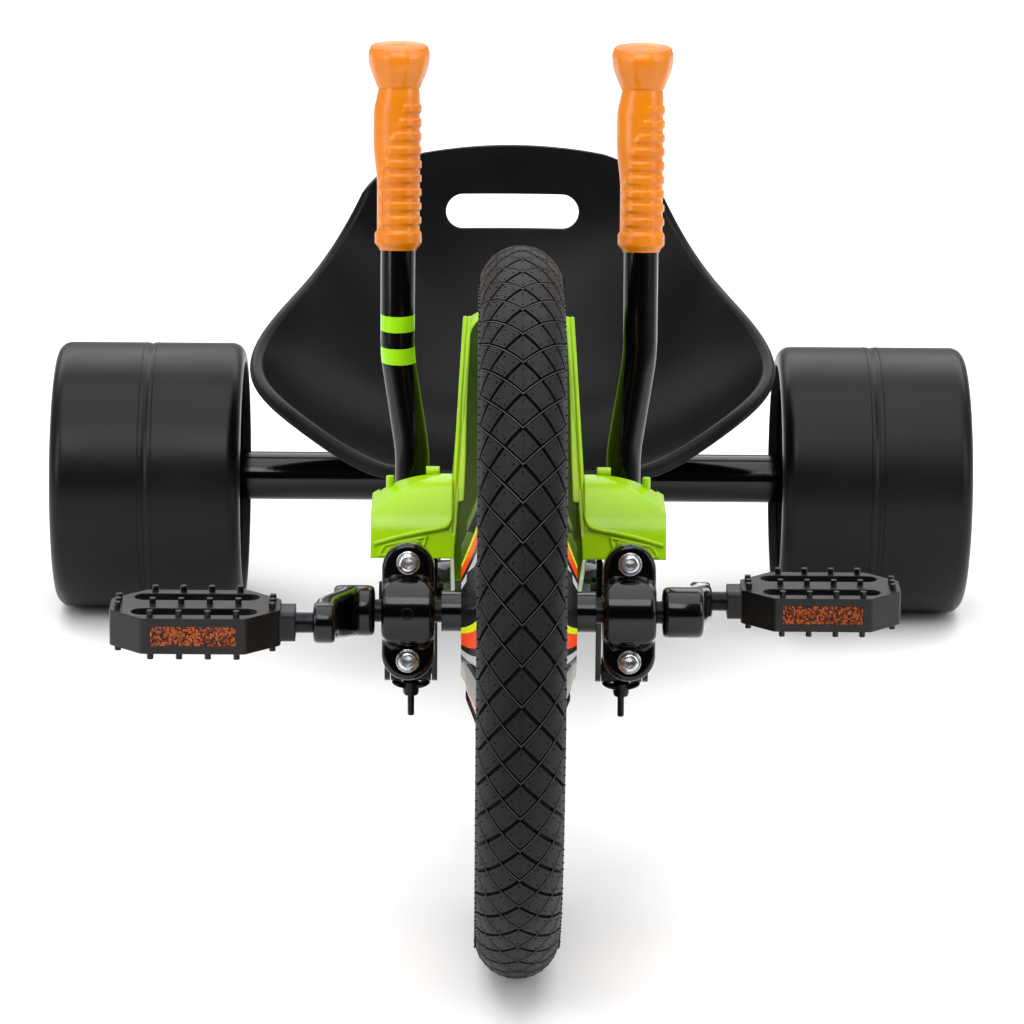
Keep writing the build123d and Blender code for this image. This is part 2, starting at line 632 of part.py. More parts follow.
def rear_wheel():
    inside = REAR_R - REAR_WALL
    web = REAR_WEB_X
    hub_in = BEAM_INSET + SIDE_PLAY
    hub_out = REAR_W - REAR_HUB_OUTSET
    bore = STUB_R + RUN_FIT
    mid = REAR_W / 2
    lip = REAR_R - REAR_EDGE_R - REAR_LIP
    outline = make_face(Polyline(
        (0, lip), (0, REAR_R), (mid - SEAM_W / 2, REAR_R), (mid, REAR_R - SEAM_DEPTH),
        (mid + SEAM_W / 2, REAR_R), (REAR_W, REAR_R), (REAR_W, lip), (REAR_W - REAR_WALL, lip),
        (REAR_W - REAR_WALL, inside), (web + REAR_WEB_T, inside),
        (web + REAR_WEB_T, REAR_HUB_R), (hub_out, REAR_HUB_R), (hub_out, bore), (hub_in, bore),
        (hub_in, REAR_HUB_R), (web, REAR_HUB_R), (web, inside), (REAR_WALL, inside), (REAR_WALL, lip),
        close=True))
    corners = [v for v in outline.vertices() if v.Y > REAR_R - 0.01 and (v.X < 0.01 or v.X > REAR_W - 0.01)]
    outline = fillet(corners, REAR_EDGE_R)
    wheel = revolve(Plane.XZ * outline, Axis.X)
    rib_end = REAR_W - REAR_RIB_DROP
    ring = turned((
        (web, REAR_HUB_R - 1), (rib_end - REAR_RIB_SLOPE, REAR_HUB_R - 1),
        (rib_end, inside + 1), (web, inside + 1)))
    for index in range(REAR_RIB_COUNT):
        rib = block(web, rib_end, -REAR_RIB_T / 2, REAR_RIB_T / 2, 0, REAR_R)
        wheel += ring & (Rot(index * 360 / REAR_RIB_COUNT, 0, 0) * rib)
    return Pos(REAR_INNER_X, REAR_Y, REAR_Z) * wheel


# Steering levers: two plates straddle the fork tube on a pivot pin and carry the rod below it
def lever_pivot_pin():
    end = YOKE_GAP + YOKE_PLATE_T + SEAT_FIT
    pin = bar_x(PIVOT_R, CLAMP_X - end, CLAMP_X + end, PIVOT_Y, PIVOT_Z)
    for side in (-1, 1):
        start = CLAMP_X + side * end
        pin += bar_x(PIVOT_HEAD_R, start, start + side * PIVOT_HEAD_T, PIVOT_Y, PIVOT_Z)
    return pin


def lever_up(distance):
    """Point on the leaning lever line, this far above the pivot."""
    return PIVOT_Y + distance * tan(radians(LEVER_LEAN)), PIVOT_Z + distance


def lever_yoke():
    lean = radians(LEVER_LEAN)
    high = YOKE_BRIDGE_UP + YOKE_BRIDGE_H
    top = (high * tan(lean), high)
    outline = make_hull(
        Circle(YOKE_PIVOT_R).edges() + (Pos(0, -LEVER_FOOT) * Circle(YOKE_FOOT_R)).edges())
    neck = make_hull(
        Circle(YOKE_PIVOT_R).edges()
        + (Pos(top[0], top[1] - 1) * Rectangle(YOKE_BRIDGE_DEPTH, 2)).edges())
    plate = Plane.YZ * (outline + neck)
    inner = YOKE_GAP
    body = Pos(inner, 0, 0) * extrude(plate, YOKE_PLATE_T)
    body += Pos(-inner - YOKE_PLATE_T, 0, 0) * extrude(plate, YOKE_PLATE_T)
    shift = YOKE_BRIDGE_UP * tan(lean)
    body += side_slab((
        (shift - YOKE_BRIDGE_DEPTH / 2, YOKE_BRIDGE_UP), (shift + YOKE_BRIDGE_DEPTH / 2, YOKE_BRIDGE_UP),
        (top[0] + YOKE_BRIDGE_DEPTH / 2, high), (top[0] - YOKE_BRIDGE_DEPTH / 2, high)),
        -inner - YOKE_PLATE_T, inner + YOKE_PLATE_T)
    body -= bar_x(PIVOT_R + RUN_FIT, -CLAMP_X, CLAMP_X)
    body += bar_x(ROD_EYE_PIN_R, -inner - 1, inner + 1, 0, -LEVER_FOOT)
    return Pos(CLAMP_X, PIVOT_Y, PIVOT_Z) * body


def lever_points():
    base = YOKE_BRIDGE_UP + YOKE_BRIDGE_H + SEAT_FIT
    stops = (
        (0.0, base), (0.0, LEVER_BEND_LOW - PIVOT_Z), (LEVER_SPREAD, LEVER_BEND_HIGH - PIVOT_Z),
        (LEVER_SPREAD, LEVER_TOP - GRIP_TOP_WALL - SEAT_FIT - PIVOT_Z),
    )
    points = []
    for out, up in stops:
        y, z = lever_up(up)
        points.append((CLAMP_X + out, y, z))
    return points


def lever_tube():
    points = lever_points()
    y, z = lever_up(YOKE_BRIDGE_UP)
    path = FilletPolyline((CLAMP_X, y, z), *points[1:], radius=LEVER_BEND_R)
    tube = sweep(Plane(path @ 0, z_dir=path % 0) * Circle(LEVER_TUBE_R), path=path)
    return tube & block(0, 2 * CLAMP_X, FRONT_Y, REAR_Y, points[0][2], 2 * LEVER_TOP)


def grip_profile():
    lean = cos(radians(LEVER_LEAN))
    length = GRIP_LENGTH / lean
    bore = LEVER_TUBE_R + RUN_FIT
    neck = length - GRIP_CAP_H
    collar = GRIP_R + GRIP_RIB
    points = [(0, bore), (0, collar), (GRIP_COLLAR_H, collar), (GRIP_COLLAR_H + 2, GRIP_R)]
    for index in range(GRIP_RIB_COUNT):
        start = GRIP_COLLAR_H + 4 + index * GRIP_RIB_PITCH
        points += [(start, GRIP_R), (start + 2, GRIP_R + GRIP_RIB),
                   (start + GRIP_RIB_PITCH - 4, GRIP_R + GRIP_RIB), (start + GRIP_RIB_PITCH - 2, GRIP_R)]
    points += [(neck, GRIP_R), (length - GRIP_CAP_EDGE, GRIP_CAP_R), (length - 1.5, GRIP_CAP_R),
               (length, GRIP_CAP_R - 1.5), (length, 0), (length - GRIP_TOP_WALL / lean, 0),
               (length - GRIP_TOP_WALL / lean, bore)]
    return points


def grip():
    y, z = lever_up(LEVER_TOP - GRIP_LENGTH - PIVOT_Z)
    shape = turned(grip_profile())
    return Pos(CLAMP_X + LEVER_SPREAD, y, z) * Rot(-LEVER_LEAN, 0, 0) * Rot(0, -90, 0) * shape


# Push rods: an eye on the lever's foot, and a bent-down end that drops into the axle's lug
def rod_points():
    front = (CLAMP_X, PIVOT_Y, FOOT_Z)
    back = (ROD_LUG_X - ROD_LUG_SLACK, REAR_Y, ROD_END_Z)
    return front, back


def steering_rod():
    front, back = rod_points()
    half = YOKE_GAP - SIDE_PLAY
    body = rod_between(ROD_R, front, back)
    body += bar_x(ROD_EYE_R, CLAMP_X - half, CLAMP_X + half, PIVOT_Y, FOOT_Z)
    body += post(ROD_END_R, ROD_END_Z - ROD_END_DROP, ROD_END_Z, back[0], REAR_Y)
    body += Pos(*back) * Sphere(ROD_R)
    return body - bar_x(ROD_EYE_PIN_R + RUN_FIT, 0, 2 * CLAMP_X, PIVOT_Y, FOOT_Z)


def wing_bolt():
    top = FOOT_Z - ROD_EYE_R - SEAT_FIT
    body = post(WING_HUB_R, top - WING_H, top, CLAMP_X, PIVOT_Y)
    for side in (-1, 1):
        reach = side * WING_SPAN
        wing = front_slab((
            (0, top - WING_H), (reach * 0.36, top - WING_H), (reach / 2, top - WING_H * 0.35),
            (reach / 2, top), (reach * 0.4, top), (side * WING_HUB_R * 0.8, top - WING_H * 0.4),
            (0, top - WING_H * 0.4)), -WING_T / 2, WING_T / 2)
        body += Pos(CLAMP_X, PIVOT_Y, 0) * wing
    return body + post(STUD_R, top - STUD_LENGTH, top, CLAMP_X, PIVOT_Y)


# Shroud half: a tapered channel behind the tyre, a cheek beside it and a hood over the lever's foot
def guard_half():
    top_z = AXLE_Z + (GUARD_R + SHROUD_T) * sin(radians(GUARD_TOP_ANGLE))
    low_z = AXLE_Z - (GUARD_R + SHROUD_T) * sin(radians(GUARD_LOW_ANGLE))
    start, end = FRONT_Y, FRONT_Y + GUARD_R * 1.2

    def panel(inset):
        outline = make_face(Polyline(
            (SEAT_FIT / 2, low_z - inset), (GUARD_MID_HALF - inset, low_z - inset),
            (GUARD_MID_HALF - inset, GUARD_MID_Z), (GUARD_TOP_HALF - inset, top_z - inset),
            (SEAT_FIT / 2, top_z - inset), close=True))
        corner = [v for v in outline.vertices() if v.X > 1 and v.Y > GUARD_MID_Z + 1]
        outline = fillet(corner, GUARD_CORNER_R - inset)
        return Pos(0, end, 0) * extrude(Plane.XZ * outline, end - start)

    outer = at_front_axle(bar_x(GUARD_R + SHROUD_T, 0, 2 * GUARD_MID_HALF))
    inner = at_front_axle(bar_x(GUARD_R, -1, 2 * GUARD_MID_HALF))
    cheek = side_slab((
        (FRONT_Y + CHEEK_TOP, top_z), (FRONT_Y + CHEEK_MID, CHEEK_MID_Z),
        (FRONT_Y + HOOD_FACE_TOP, HOOD_FACE_Z),
        (FRONT_Y + HOOD_FRONT, HOOD_FRONT_Z), (FRONT_Y + CHEEK_LOW, low_z), (end, low_z), (end, top_z)),
        0, 2 * GUARD_MID_HALF)
    return (outer & cheek & panel(0)) - (inner & panel(SHROUD_T))


def hood_half():
    crest = (FRONT_Y + HOOD_CREST, HOOD_CREST_Z + SEAT_FIT)
    face_top = (FRONT_Y + HOOD_FACE_TOP, HOOD_FACE_Z)
    side = Polyline(
        crest, (FRONT_Y + HOOD_SHELF, HOOD_SHELF_Z), (FRONT_Y + HOOD_BRIDGE, HOOD_BRIDGE_Z),
        (FRONT_Y + HOOD_BACK, HOOD_BRIDGE_Z - HOOD_BACK_DROP), (FRONT_Y + HOOD_BACK, HOOD_SKIRT_Z),
        (FRONT_Y + HOOD_FRONT, HOOD_FRONT_Z), face_top)
    brow = ThreePointArc(face_top, (FRONT_Y + HOOD_BROW, HOOD_BROW_Z), crest)
    inner_top = (HOOD_INNER_X, HOOD_CREST_Z)
    outer_top = (HOOD_OUTER_X, HOOD_OUTER_Z)
    walls = Polyline(inner_top, (HOOD_INNER_X, 0), (HOOD_OUTER_X, 0), outer_top)
    top = ThreePointArc(outer_top, ((HOOD_INNER_X + HOOD_OUTER_X) / 2, HOOD_MID_Z), inner_top)
    side_face = make_face(Curve() + [side, brow])
    front_face = make_face(Curve() + [walls, top])

    def envelope(inset):
        profile = offset(side_face, -inset, kind=Kind.INTERSECTION) if inset else side_face
        outline = offset(front_face, -inset, kind=Kind.INTERSECTION) if inset else front_face
        across = extrude(Plane.YZ * profile, 2 * HOOD_OUTER_X)
        along = Pos(0, REAR_Y, 0) * extrude(Plane.XZ * outline, REAR_Y - FRONT_Y)
        return across & along

    hollow = envelope(SHROUD_T)
    hood = envelope(0) - hollow - Pos(0, 0, -4 * SHROUD_T) * hollow
    slot_half = LEVER_TUBE_R + 2 * SWING_GAP
    slot = block(CLAMP_X - slot_half, CLAMP_X + slot_half, FRONT_Y + HOOD_CREST + 2 * SHROUD_T,
                 FRONT_Y + HOOD_BRIDGE - 2 * SHROUD_T, HOOD_SKIRT_Z + SHROUD_T, 2 * AXLE_Z)
    return hood - slot


def shroud():
    start = GUARD_R + SHROUD_T / 2
    end = FORK_REACH - FORK_TUBE_R - SEAT_FIT
    boss = Pos(GUARD_BOSS_X, (start + end) / 2, 0) * Rot(90, 0, 0) * Cylinder(GUARD_BOSS_R, end - start)
    return guard_half() + hood_half() + FORK_PLANE.location * boss


# Bucket seat: a thin lofted shell with a rolled rim, a crowned top edge and a hand slot in the back
def seat_section(angle, width_share, edge_share, centre_share, wall_share):
    half_w = width_share * SEAT_HALF_W
    edge = edge_share * SEAT_REACH
    centre = centre_share * SEAT_REACH
    wall = wall_share * SEAT_WALL
    sag = centre - edge
    bow = (half_w ** 2 + sag ** 2) / (2 * sag)
    swing = asin(half_w / bow)
    swing_out = swing - SEAT_BEAD_RUN / bow
    middle = centre - bow
    out = (sin(swing), cos(swing))
    along = (cos(swing), -sin(swing))
    tip = (half_w, edge)
    crown = (tip[0] + SEAT_BEAD_R * (out[0] + along[0]), tip[1] + SEAT_BEAD_R * (out[1] + along[1]))
    far = (tip[0] + 2 * SEAT_BEAD_R * out[0], tip[1] + 2 * SEAT_BEAD_R * out[1])
    back = ((bow + wall) * sin(swing_out), middle + (bow + wall) * cos(swing_out))

    inner_mid = (bow * sin(swing / 2), middle + bow * cos(swing / 2))
    outer_mid = ((bow + wall) * sin(swing_out / 2), middle + (bow + wall) * cos(swing_out / 2))
    edges = [
        ThreePointArc((0, centre), inner_mid, tip), ThreePointArc(tip, crown, far), Line(far, back),
        ThreePointArc(back, outer_mid, (0, centre + wall)), Line((0, centre + wall), (0, centre)),
    ]
    turn = radians(angle)
    plane = Plane(origin=(0, SEAT_FAN_Y, SEAT_FAN_Z), x_dir=(1, 0, 0), z_dir=(0, -sin(turn), cos(turn)))
    return Wire([plane.from_local_coords(edge) for edge in edges])


def seat_shell():
    half = Solid.make_loft([seat_section(*row) for row in SEAT_SECTIONS])
    shell = Part() + half + mirror(half, Plane.YZ)
    wide = 2 * SEAT_HALF_W
    side_z = SEAT_TOP_Z - SEAT_TOP_SAG
    corner_z = SEAT_FAN_Z - SEAT_CORNER_DROP
    shoulder_z = SEAT_FAN_Z - SEAT_SHOULDER_DROP
    outline = [ThreePointArc((-SEAT_TOP_HALF, side_z), (0, SEAT_TOP_Z), (SEAT_TOP_HALF, side_z))]
    for side in (-1, 1):
        shoulder = (side * SEAT_SHOULDER_X, shoulder_z)
        corner = (side * SEAT_CORNER_X, corner_z)
        outline.append(ThreePointArc((side * SEAT_TOP_HALF, side_z), corner, shoulder))
        outline.append(Polyline(shoulder, (side * wide, shoulder_z), (side * wide, 0), (0, 0)))
    back = SEAT_FAN_Y + 2 * SEAT_REACH
    shell &= Pos(0, back, 0) * extrude(Plane.XZ * make_face(Curve() + outline), 4 * SEAT_REACH)
    return shell - Pos(0, back, SLOT_Z) * extrude(Plane.XZ * SlotOverall(SLOT_W, SLOT_H), 2 * SEAT_REACH)


def seat_bracket(seat_low, seat_low_y):
    top = seat_low - SEAT_FIT
    start, end = spine_ends()
    front = seat_low_y - SEAT_BRACKET_L / 2
    back = seat_low_y + SEAT_BRACKET_L / 2
    bracket = block(-SEAT_BRACKET_W / 2, SEAT_BRACKET_W / 2, front, back, top - SEAT_BRACKET_T, top)
    bracket += block(-SPINE_R, SPINE_R, front, back, SPINE_SEAT_Z, top - SEAT_BRACKET_T / 2)
    bracket -= rod_between(SPINE_R + SEAT_FIT, start, end)
    return max(bracket.solids(), key=lambda solid: solid.volume)


os.makedirs("parts", exist_ok=True)


def save(name, shape):
    export_step(shape, f"parts/{name}.step")


save("fork_loop", fork_loop())
save("frame_spine", frame_spine())
save("pivot_clevis", pivot_clevis())
save("king_pin", king_pin())
save("front_tyre", front_tyre())
save("front_rim", front_rim())
save("front_hub", front_hub())
save("crank_spindle", crank_spindle())
save("rear_beam", rear_beam())

seat = seat_shell()
seat_box = seat.bounding_box()
seat_low = seat_box.min.Z
seat_low_y = SEAT_FAN_Y
save("seat_shell", seat)
save("seat_bracket", seat_bracket(seat_low, seat_low_y))

PAIRED = {
    "wheel_disc": wheel_disc(),
    "clamp_base": clamp_half(False),
    "clamp_cap": clamp_half(True),
    "clamp_bolts": clamp_bolts(),
    "bearing": bearing(),
    "lever_pivot_pin": lever_pivot_pin(),
    "shroud": shroud(),
    "lever_yoke": lever_yoke(),
    "lever_tube": lever_tube(),
    "grip": grip(),
    "steering_rod": steering_rod(),
    "wing_bolt": wing_bolt(),
    "axle_stub": axle_stub(),
    "axle_nut": axle_nut(),
    "rear_wheel": rear_wheel(),
}
for name, piece in PAIRED.items():
    for side, shape in two_sided(piece).items():
        save(f"{name}_{side}", shape)

for side in ("left", "right"):
    save(f"crank_{side}", crank_side(crank(), side))
    save(f"pedal_spindle_{side}", crank_side(pedal_spindle(), side))
    save(f"pedal_body_{side}", pedal_side(pedal_body(), side))
    save(f"pedal_reflectors_{side}", pedal_side(pedal_reflectors(), side))
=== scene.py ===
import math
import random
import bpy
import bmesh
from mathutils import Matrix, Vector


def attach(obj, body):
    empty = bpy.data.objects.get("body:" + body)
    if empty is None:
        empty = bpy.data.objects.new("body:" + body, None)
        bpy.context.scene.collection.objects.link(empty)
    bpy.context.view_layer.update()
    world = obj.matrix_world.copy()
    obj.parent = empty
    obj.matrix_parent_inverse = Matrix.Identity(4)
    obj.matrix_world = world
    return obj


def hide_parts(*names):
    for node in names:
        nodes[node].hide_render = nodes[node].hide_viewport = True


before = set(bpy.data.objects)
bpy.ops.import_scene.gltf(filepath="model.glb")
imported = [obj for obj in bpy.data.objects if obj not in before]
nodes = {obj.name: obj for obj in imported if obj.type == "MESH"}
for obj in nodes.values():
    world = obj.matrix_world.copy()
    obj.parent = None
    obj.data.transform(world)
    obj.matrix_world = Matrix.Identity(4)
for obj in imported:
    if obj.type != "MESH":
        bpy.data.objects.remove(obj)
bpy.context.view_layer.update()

# %% [markdown]
# A lever-steered drift tricycle, dressed for a studio picture.
# The measured model is already in the scene as a fixed frame. Every cell below either gives one of its
# pieces a finish, or lays a finer mesh over it. All sizes are metres, in the same frame as the model:
# X across, the front wheel towards -Y, Z up. Two small tools come first: one turns a colour picked on a
# screen into the linear colour that light is worked out in, and one adds a shader node in a single line.

MM = 0.001


def linear(hex_colour):
    """sRGB hex text to the linear colour that a shader wants."""
    values = [int(hex_colour[i:i + 2], 16) / 255 for i in (1, 3, 5)]
    return tuple(v / 12.92 if v <= 0.04045 else ((v + 0.055) / 1.055) ** 2.4 for v in values) + (1.0,)


def add(tree, kind, settings=(), **links):
    """Adds one shader node. Settings name an input or a property, and links name an input and its source."""
    node = tree.nodes.new(kind)
    for name, value in dict(settings).items():
        if name in node.inputs:
            node.inputs[name].default_value = value
        else:
            setattr(node, name, value)
    for name, source in links.items():
        key = int(name[1:]) if name[0] == "_" else name.replace("_", " ")
        tree.links.new(source, node.inputs[key])
    return node


def per(size_mm):
    """Pattern scale, in repeats per metre, for a feature of this size."""
    return 1.0 / (size_mm * MM)


# %% [markdown]
# The photo was taken from the front, a little above, through a long lens. The lens and the place were
# worked out from the outlines of the three wheels, taking the front tyre as 516 mm across. A small roll
# turns the picture by half a degree, as the photo is.

# %% Camera
LENS_MM, SENSOR_MM = 164.32, 36
EYE = (-0.0309, -3.5212, 1.2217)
LOOK_AT = (-0.0052, -0.3453, 0.3254)
ROLL = math.radians(0.523)
FAR_CLIP = 50
camera_data = bpy.data.cameras.new("studio_camera")
camera_data.lens = LENS_MM
camera_data.sensor_width = SENSOR_MM
camera_data.clip_end = FAR_CLIP
camera = bpy.data.objects.new("studio_camera", camera_data)
bpy.context.scene.collection.objects.link(camera)
camera.location = EYE
look = Vector(LOOK_AT) - camera.location
turn = look.to_track_quat("-Z", "Y").to_matrix() @ Matrix.Rotation(ROLL, 3, "Z")
camera.rotation_euler = turn.to_euler()
bpy.context.scene.camera = camera
print("camera", round(look.length, 3), "m from what it looks at")

# %% [markdown]
# The tricycle stands on a roll of seamless white paper. Paper is felted fibre, so it is matt and shows no
# highlight; a slight wander in its roughness is all that the eye gets. A flat sheet is enough, because
# the view never meets its edge.

# %% Paper floor
FLOOR_HALF = 9
PAPER_FIBRE_MM = 1 / 0.9
floor_mesh = bpy.data.meshes.new("studio_floor")
floor_corners = [(x * FLOOR_HALF, y * FLOOR_HALF, 0) for x, y in ((-1, -1), (1, -1), (1, 1), (-1, 1))]
floor_mesh.from_pydata(floor_corners, [], [(0, 1, 2, 3)])
floor = bpy.data.objects.new("studio_floor", floor_mesh)
bpy.context.scene.collection.objects.link(floor)
paper = bpy.data.materials.new("white_studio_paper")
paper.use_nodes = True
tree = paper.node_tree
paper_shader = tree.nodes["Principled BSDF"]
paper_shader.inputs["Base Color"].default_value = linear("#f4f4f4")
grain = add(tree, "ShaderNodeTexNoise", {"Scale": per(PAPER_FIBRE_MM), "Detail": 3.0})
felt = add(tree, "ShaderNodeMapRange", {"To Min": 0.75, "To Max": 0.95}, Value=grain.outputs["Fac"])
tree.links.new(felt.outputs["Result"], paper_shader.inputs["Roughness"])
floor_mesh.materials.append(paper)
print("floor", 2 * FLOOR_HALF, "m square")

# %% [markdown]
# The light is soft, from large panels: one above, one behind that whitens the paper, one each side and a
# key from above the camera. The room is dark behind the camera and white behind the tricycle: a black
# gloss part mirrors whatever is in front of it, so the dark wall is what keeps it black.

# %% World and light panels
DARK_WALL, PALE_WALL = 0.04, 0.45
world = bpy.data.worlds.new("white_room")
bpy.context.scene.world = world
world.use_nodes = True
sky = world.node_tree
toward = add(sky, "ShaderNodeTexCoord").outputs["Generated"]
depth = add(sky, "ShaderNodeSeparateXYZ", Vector=toward)
wall = add(sky, "ShaderNodeMapRange", {"From Min": -0.95, "From Max": -0.3, "To Min": DARK_WALL,
                                       "To Max": PALE_WALL}, Value=depth.outputs["Y"])
sky.nodes["Background"].inputs["Color"].default_value = (1, 1, 1, 1)
sky.links.new(wall.outputs["Result"], sky.nodes["Background"].inputs["Strength"])
bpy.context.scene.view_settings.view_transform = "Standard"


def panel(name, place, aim, size, watts):
    """A soft rectangular light that faces its aim."""
    light = bpy.data.lights.new(name, "AREA")
    light.shape = "RECTANGLE"
    light.size, light.size_y = size
    light.energy = watts
    lamp = bpy.data.objects.new(name, light)
    bpy.context.scene.collection.objects.link(lamp)
    lamp.location = place
    lamp.rotation_euler = (Vector(aim) - Vector(place)).to_track_quat("-Z", "Y").to_euler()


# Columns: name, place, aim, width and length, watts.
PANELS = (("top_panel", (0, -0.5, 3.3), (0, -0.3, 0), (3.6, 3.4), 105),
          ("back_panel", (0, 5.0, 3.6), (0, 5.2, 0), (9.0, 6.0), 420),
          ("left_panel", (-2.6, -1.6, 1.6), (0, -0.2, 0.3), (1.2, 2.2), 40),
          ("right_panel", (2.6, -1.4, 1.7), (0, -0.2, 0.3), (1.2, 2.2), 36),
          ("key_panel", (-0.5, -3.0, 3.2), (0, -0.7, 0), (2.0, 1.4), 55))
for row in PANELS:
    panel(*row)
print("light panels", len(PANELS))

# %% [markdown]
# Finishes come next. Each one starts from what the real material is, and gets three things: its colour, a
# roughness that wanders a little as handled surfaces do, and a fine bump from the way it was made. One
# function builds that common stem, because it is the same for paint, plastic, rubber and metal; what
# differs is the size of the grain, so each size is given in millimetres.

# %% The common stem of every finish
PATCH_STOPS = (0.40, 0.75)
COAT_ROUGH = 0.08


def finish_stem(name, colour, tint, rough, grain_mm, bump, patch_mm=90.0, metallic=0.0, ior=1.5, coat=0.0,
                edge_mm=1.2, shine=0.5):
    """A finish with a patchy tint, wandering roughness, fine grain and softened edges. Returns its parts."""
    material = bpy.data.materials.new(name)
    material.use_nodes = True
    tree = material.node_tree
    shader = tree.nodes["Principled BSDF"]
    shader.inputs["Metallic"].default_value = metallic
    if not metallic:
        shader.inputs["IOR"].default_value = ior
    shader.inputs["Specular IOR Level"].default_value = shine
    shader.inputs["Coat Weight"].default_value = coat
    shader.inputs["Coat Roughness"].default_value = COAT_ROUGH
    spot = add(tree, "ShaderNodeTexCoord").outputs["Object"]
    patch = add(tree, "ShaderNodeTexNoise", {"Scale": per(patch_mm), "Detail": 4.0}, Vector=spot)
    shade = add(tree, "ShaderNodeValToRGB", Fac=patch.outputs["Fac"])
    for element, stop, hex_colour in zip(shade.color_ramp.elements, PATCH_STOPS, (colour, tint)):
        element.position = stop
        element.color = linear(hex_colour)
    tree.links.new(shade.outputs["Color"], shader.inputs["Base Color"])
    worn = add(tree, "ShaderNodeMapRange", {"From Min": 0.3, "From Max": 0.7, "To Min": rough[0],
                                            "To Max": rough[1]}, Value=patch.outputs["Fac"])
    tree.links.new(worn.outputs["Result"], shader.inputs["Roughness"])
    fine = add(tree, "ShaderNodeTexNoise", {"Scale": per(grain_mm), "Detail": 3.0, "Roughness": 0.6},
               Vector=spot)
    edge = add(tree, "ShaderNodeBevel", {"Radius": edge_mm * MM, "samples": 4})
    skin = add(tree, "ShaderNodeBump", {"Strength": bump, "Distance": grain_mm * MM},
               Height=fine.outputs["Fac"], Normal=edge.outputs["Normal"])
    tree.links.new(skin.outputs["Normal"], shader.inputs["Normal"])
    return {"material": material, "tree": tree, "shader": shader, "spot": spot, "skin": skin, "colour": shade}


print("pattern stops", PATCH_STOPS)

# %% [markdown]
# A solid of the model keeps its finish in a material slot. Many come in a left and right pair, so one
# function names both of them, and another fills the slots and says how many solids it dressed.

# %% Dressing solids in a finish


def both(name):
    """The left and right nodes of a pair."""
    return [name + "_left", name + "_right"]


def wear(node_names, finish):
    """Gives CAD nodes this finish."""
    for node_name in node_names:
        slots = nodes[node_name].data.materials
        slots.clear()
        slots.append(finish["material"])
    print(finish["material"].name, "on", len(node_names), "solids")


print("solids to dress", len(nodes))

# %% [markdown]
# Powder coat is sprayed as dust and baked, so it flows to a gloss that is never quite flat: the faint
# orange peel, about 2 mm across, is what makes its highlights waver.

# %% Gloss black powder coat on the frame, levers, clamps and rim
PEEL_MM = 2.2
COAT_LOOK = {"colour": "#020203", "tint": "#050506", "rough": (0.07, 0.14), "grain_mm": PEEL_MM, "bump": 0.03,
             "coat": 0.25, "edge_mm": 1.8, "shine": 0.2}
powder_coat = finish_stem("gloss_black_powder_coat", **COAT_LOOK)
wear(["fork_loop", "frame_spine", "pivot_clevis", "rear_beam", "seat_bracket", "front_rim", "front_hub"]
     + both("clamp_base") + both("lever_yoke") + ["lever_tube_left"], powder_coat)

# %% [markdown]
# One lever carries a decal of two lime bands with a black one between. The bands lie across the tube, so
# their edges are heights on it; a ramp with hard steps paints them, and the coat's gloss runs over all.

# %% Striped lever
BAND_FOOT, BAND_TOP = 0.3935, 0.4305
COAT_BLACK, BAND_BLACK, BAND_LIME = "#030304", "#050506", "#8fce12"
striped = finish_stem("gloss_black_powder_coat_with_lime_bands", **COAT_LOOK)
tree = striped["tree"]
height = add(tree, "ShaderNodeSeparateXYZ", Vector=striped["spot"])
share = add(tree, "ShaderNodeMapRange", {"From Min": BAND_FOOT, "From Max": BAND_TOP},
            Value=height.outputs["Z"])
bands = add(tree, "ShaderNodeValToRGB", Fac=share.outputs["Result"])
ramp = bands.color_ramp
ramp.interpolation = "CONSTANT"
ramp.elements[0].color = linear(COAT_BLACK)
ramp.elements[1].position = 0.97
ramp.elements[1].color = linear(COAT_BLACK)
for stop, hex_colour in ((0.03, BAND_LIME), (0.34, BAND_BLACK), (0.66, BAND_LIME)):
    ramp.elements.new(stop).color = linear(hex_colour)
tree.links.new(bands.outputs["Color"], striped["shader"].inputs["Base Color"])
wear(["lever_tube_right"], striped)

# %% [markdown]
# The seat and the rear wheels are blow-moulded polyethylene. The mould is blasted, so the skin comes out
# satin with a fine grain, whose pits trap some of the light, so the shine is set low; the wheels were
# moulded smoother and show long soft highlights. The pedals are nylon, which is greyer and takes scuffs.

# %% Satin black polyethylene and nylon
seat_skin = finish_stem("blow_moulded_polyethylene_grained", "#08080a", "#0e0e11", (0.26, 0.35), 0.9, 0.10,
                        shine=0.1)
wear(["seat_shell"], seat_skin)
roller_skin = finish_stem("blow_moulded_polyethylene_smooth", "#060607", "#0b0b0c", (0.30, 0.42), 1.4, 0.04,
                          edge_mm=2.0, shine=0.18)
wear(both("rear_wheel"), roller_skin)
pedal_nylon = finish_stem("injection_moulded_nylon", "#070708", "#101011", (0.34, 0.48), 0.7, 0.10,
                          patch_mm=30, shine=0.3)
wear(both("pedal_body"), pedal_nylon)

# %% [markdown]
# The shroud is injection-moulded polypropylene in a lime that stays bright in shadow. A polished mould
# gives it a gloss with broad, slightly soft highlights.

# %% Lime polypropylene
lime = finish_stem("lime_polypropylene", "#98c806", "#8cbc04", (0.15, 0.24), 1.8, 0.03, patch_mm=60,
                   edge_mm=2.2, coat=0.06, shine=0.25)
wear(both("shroud"), lime)

# %% [markdown]
# Grips are thermoplastic rubber moulded over the tube ends: orange, a little translucent, and shinier than
# tyre rubber. Red light travels furthest inside it, which warms the shaded sides of the ribs.

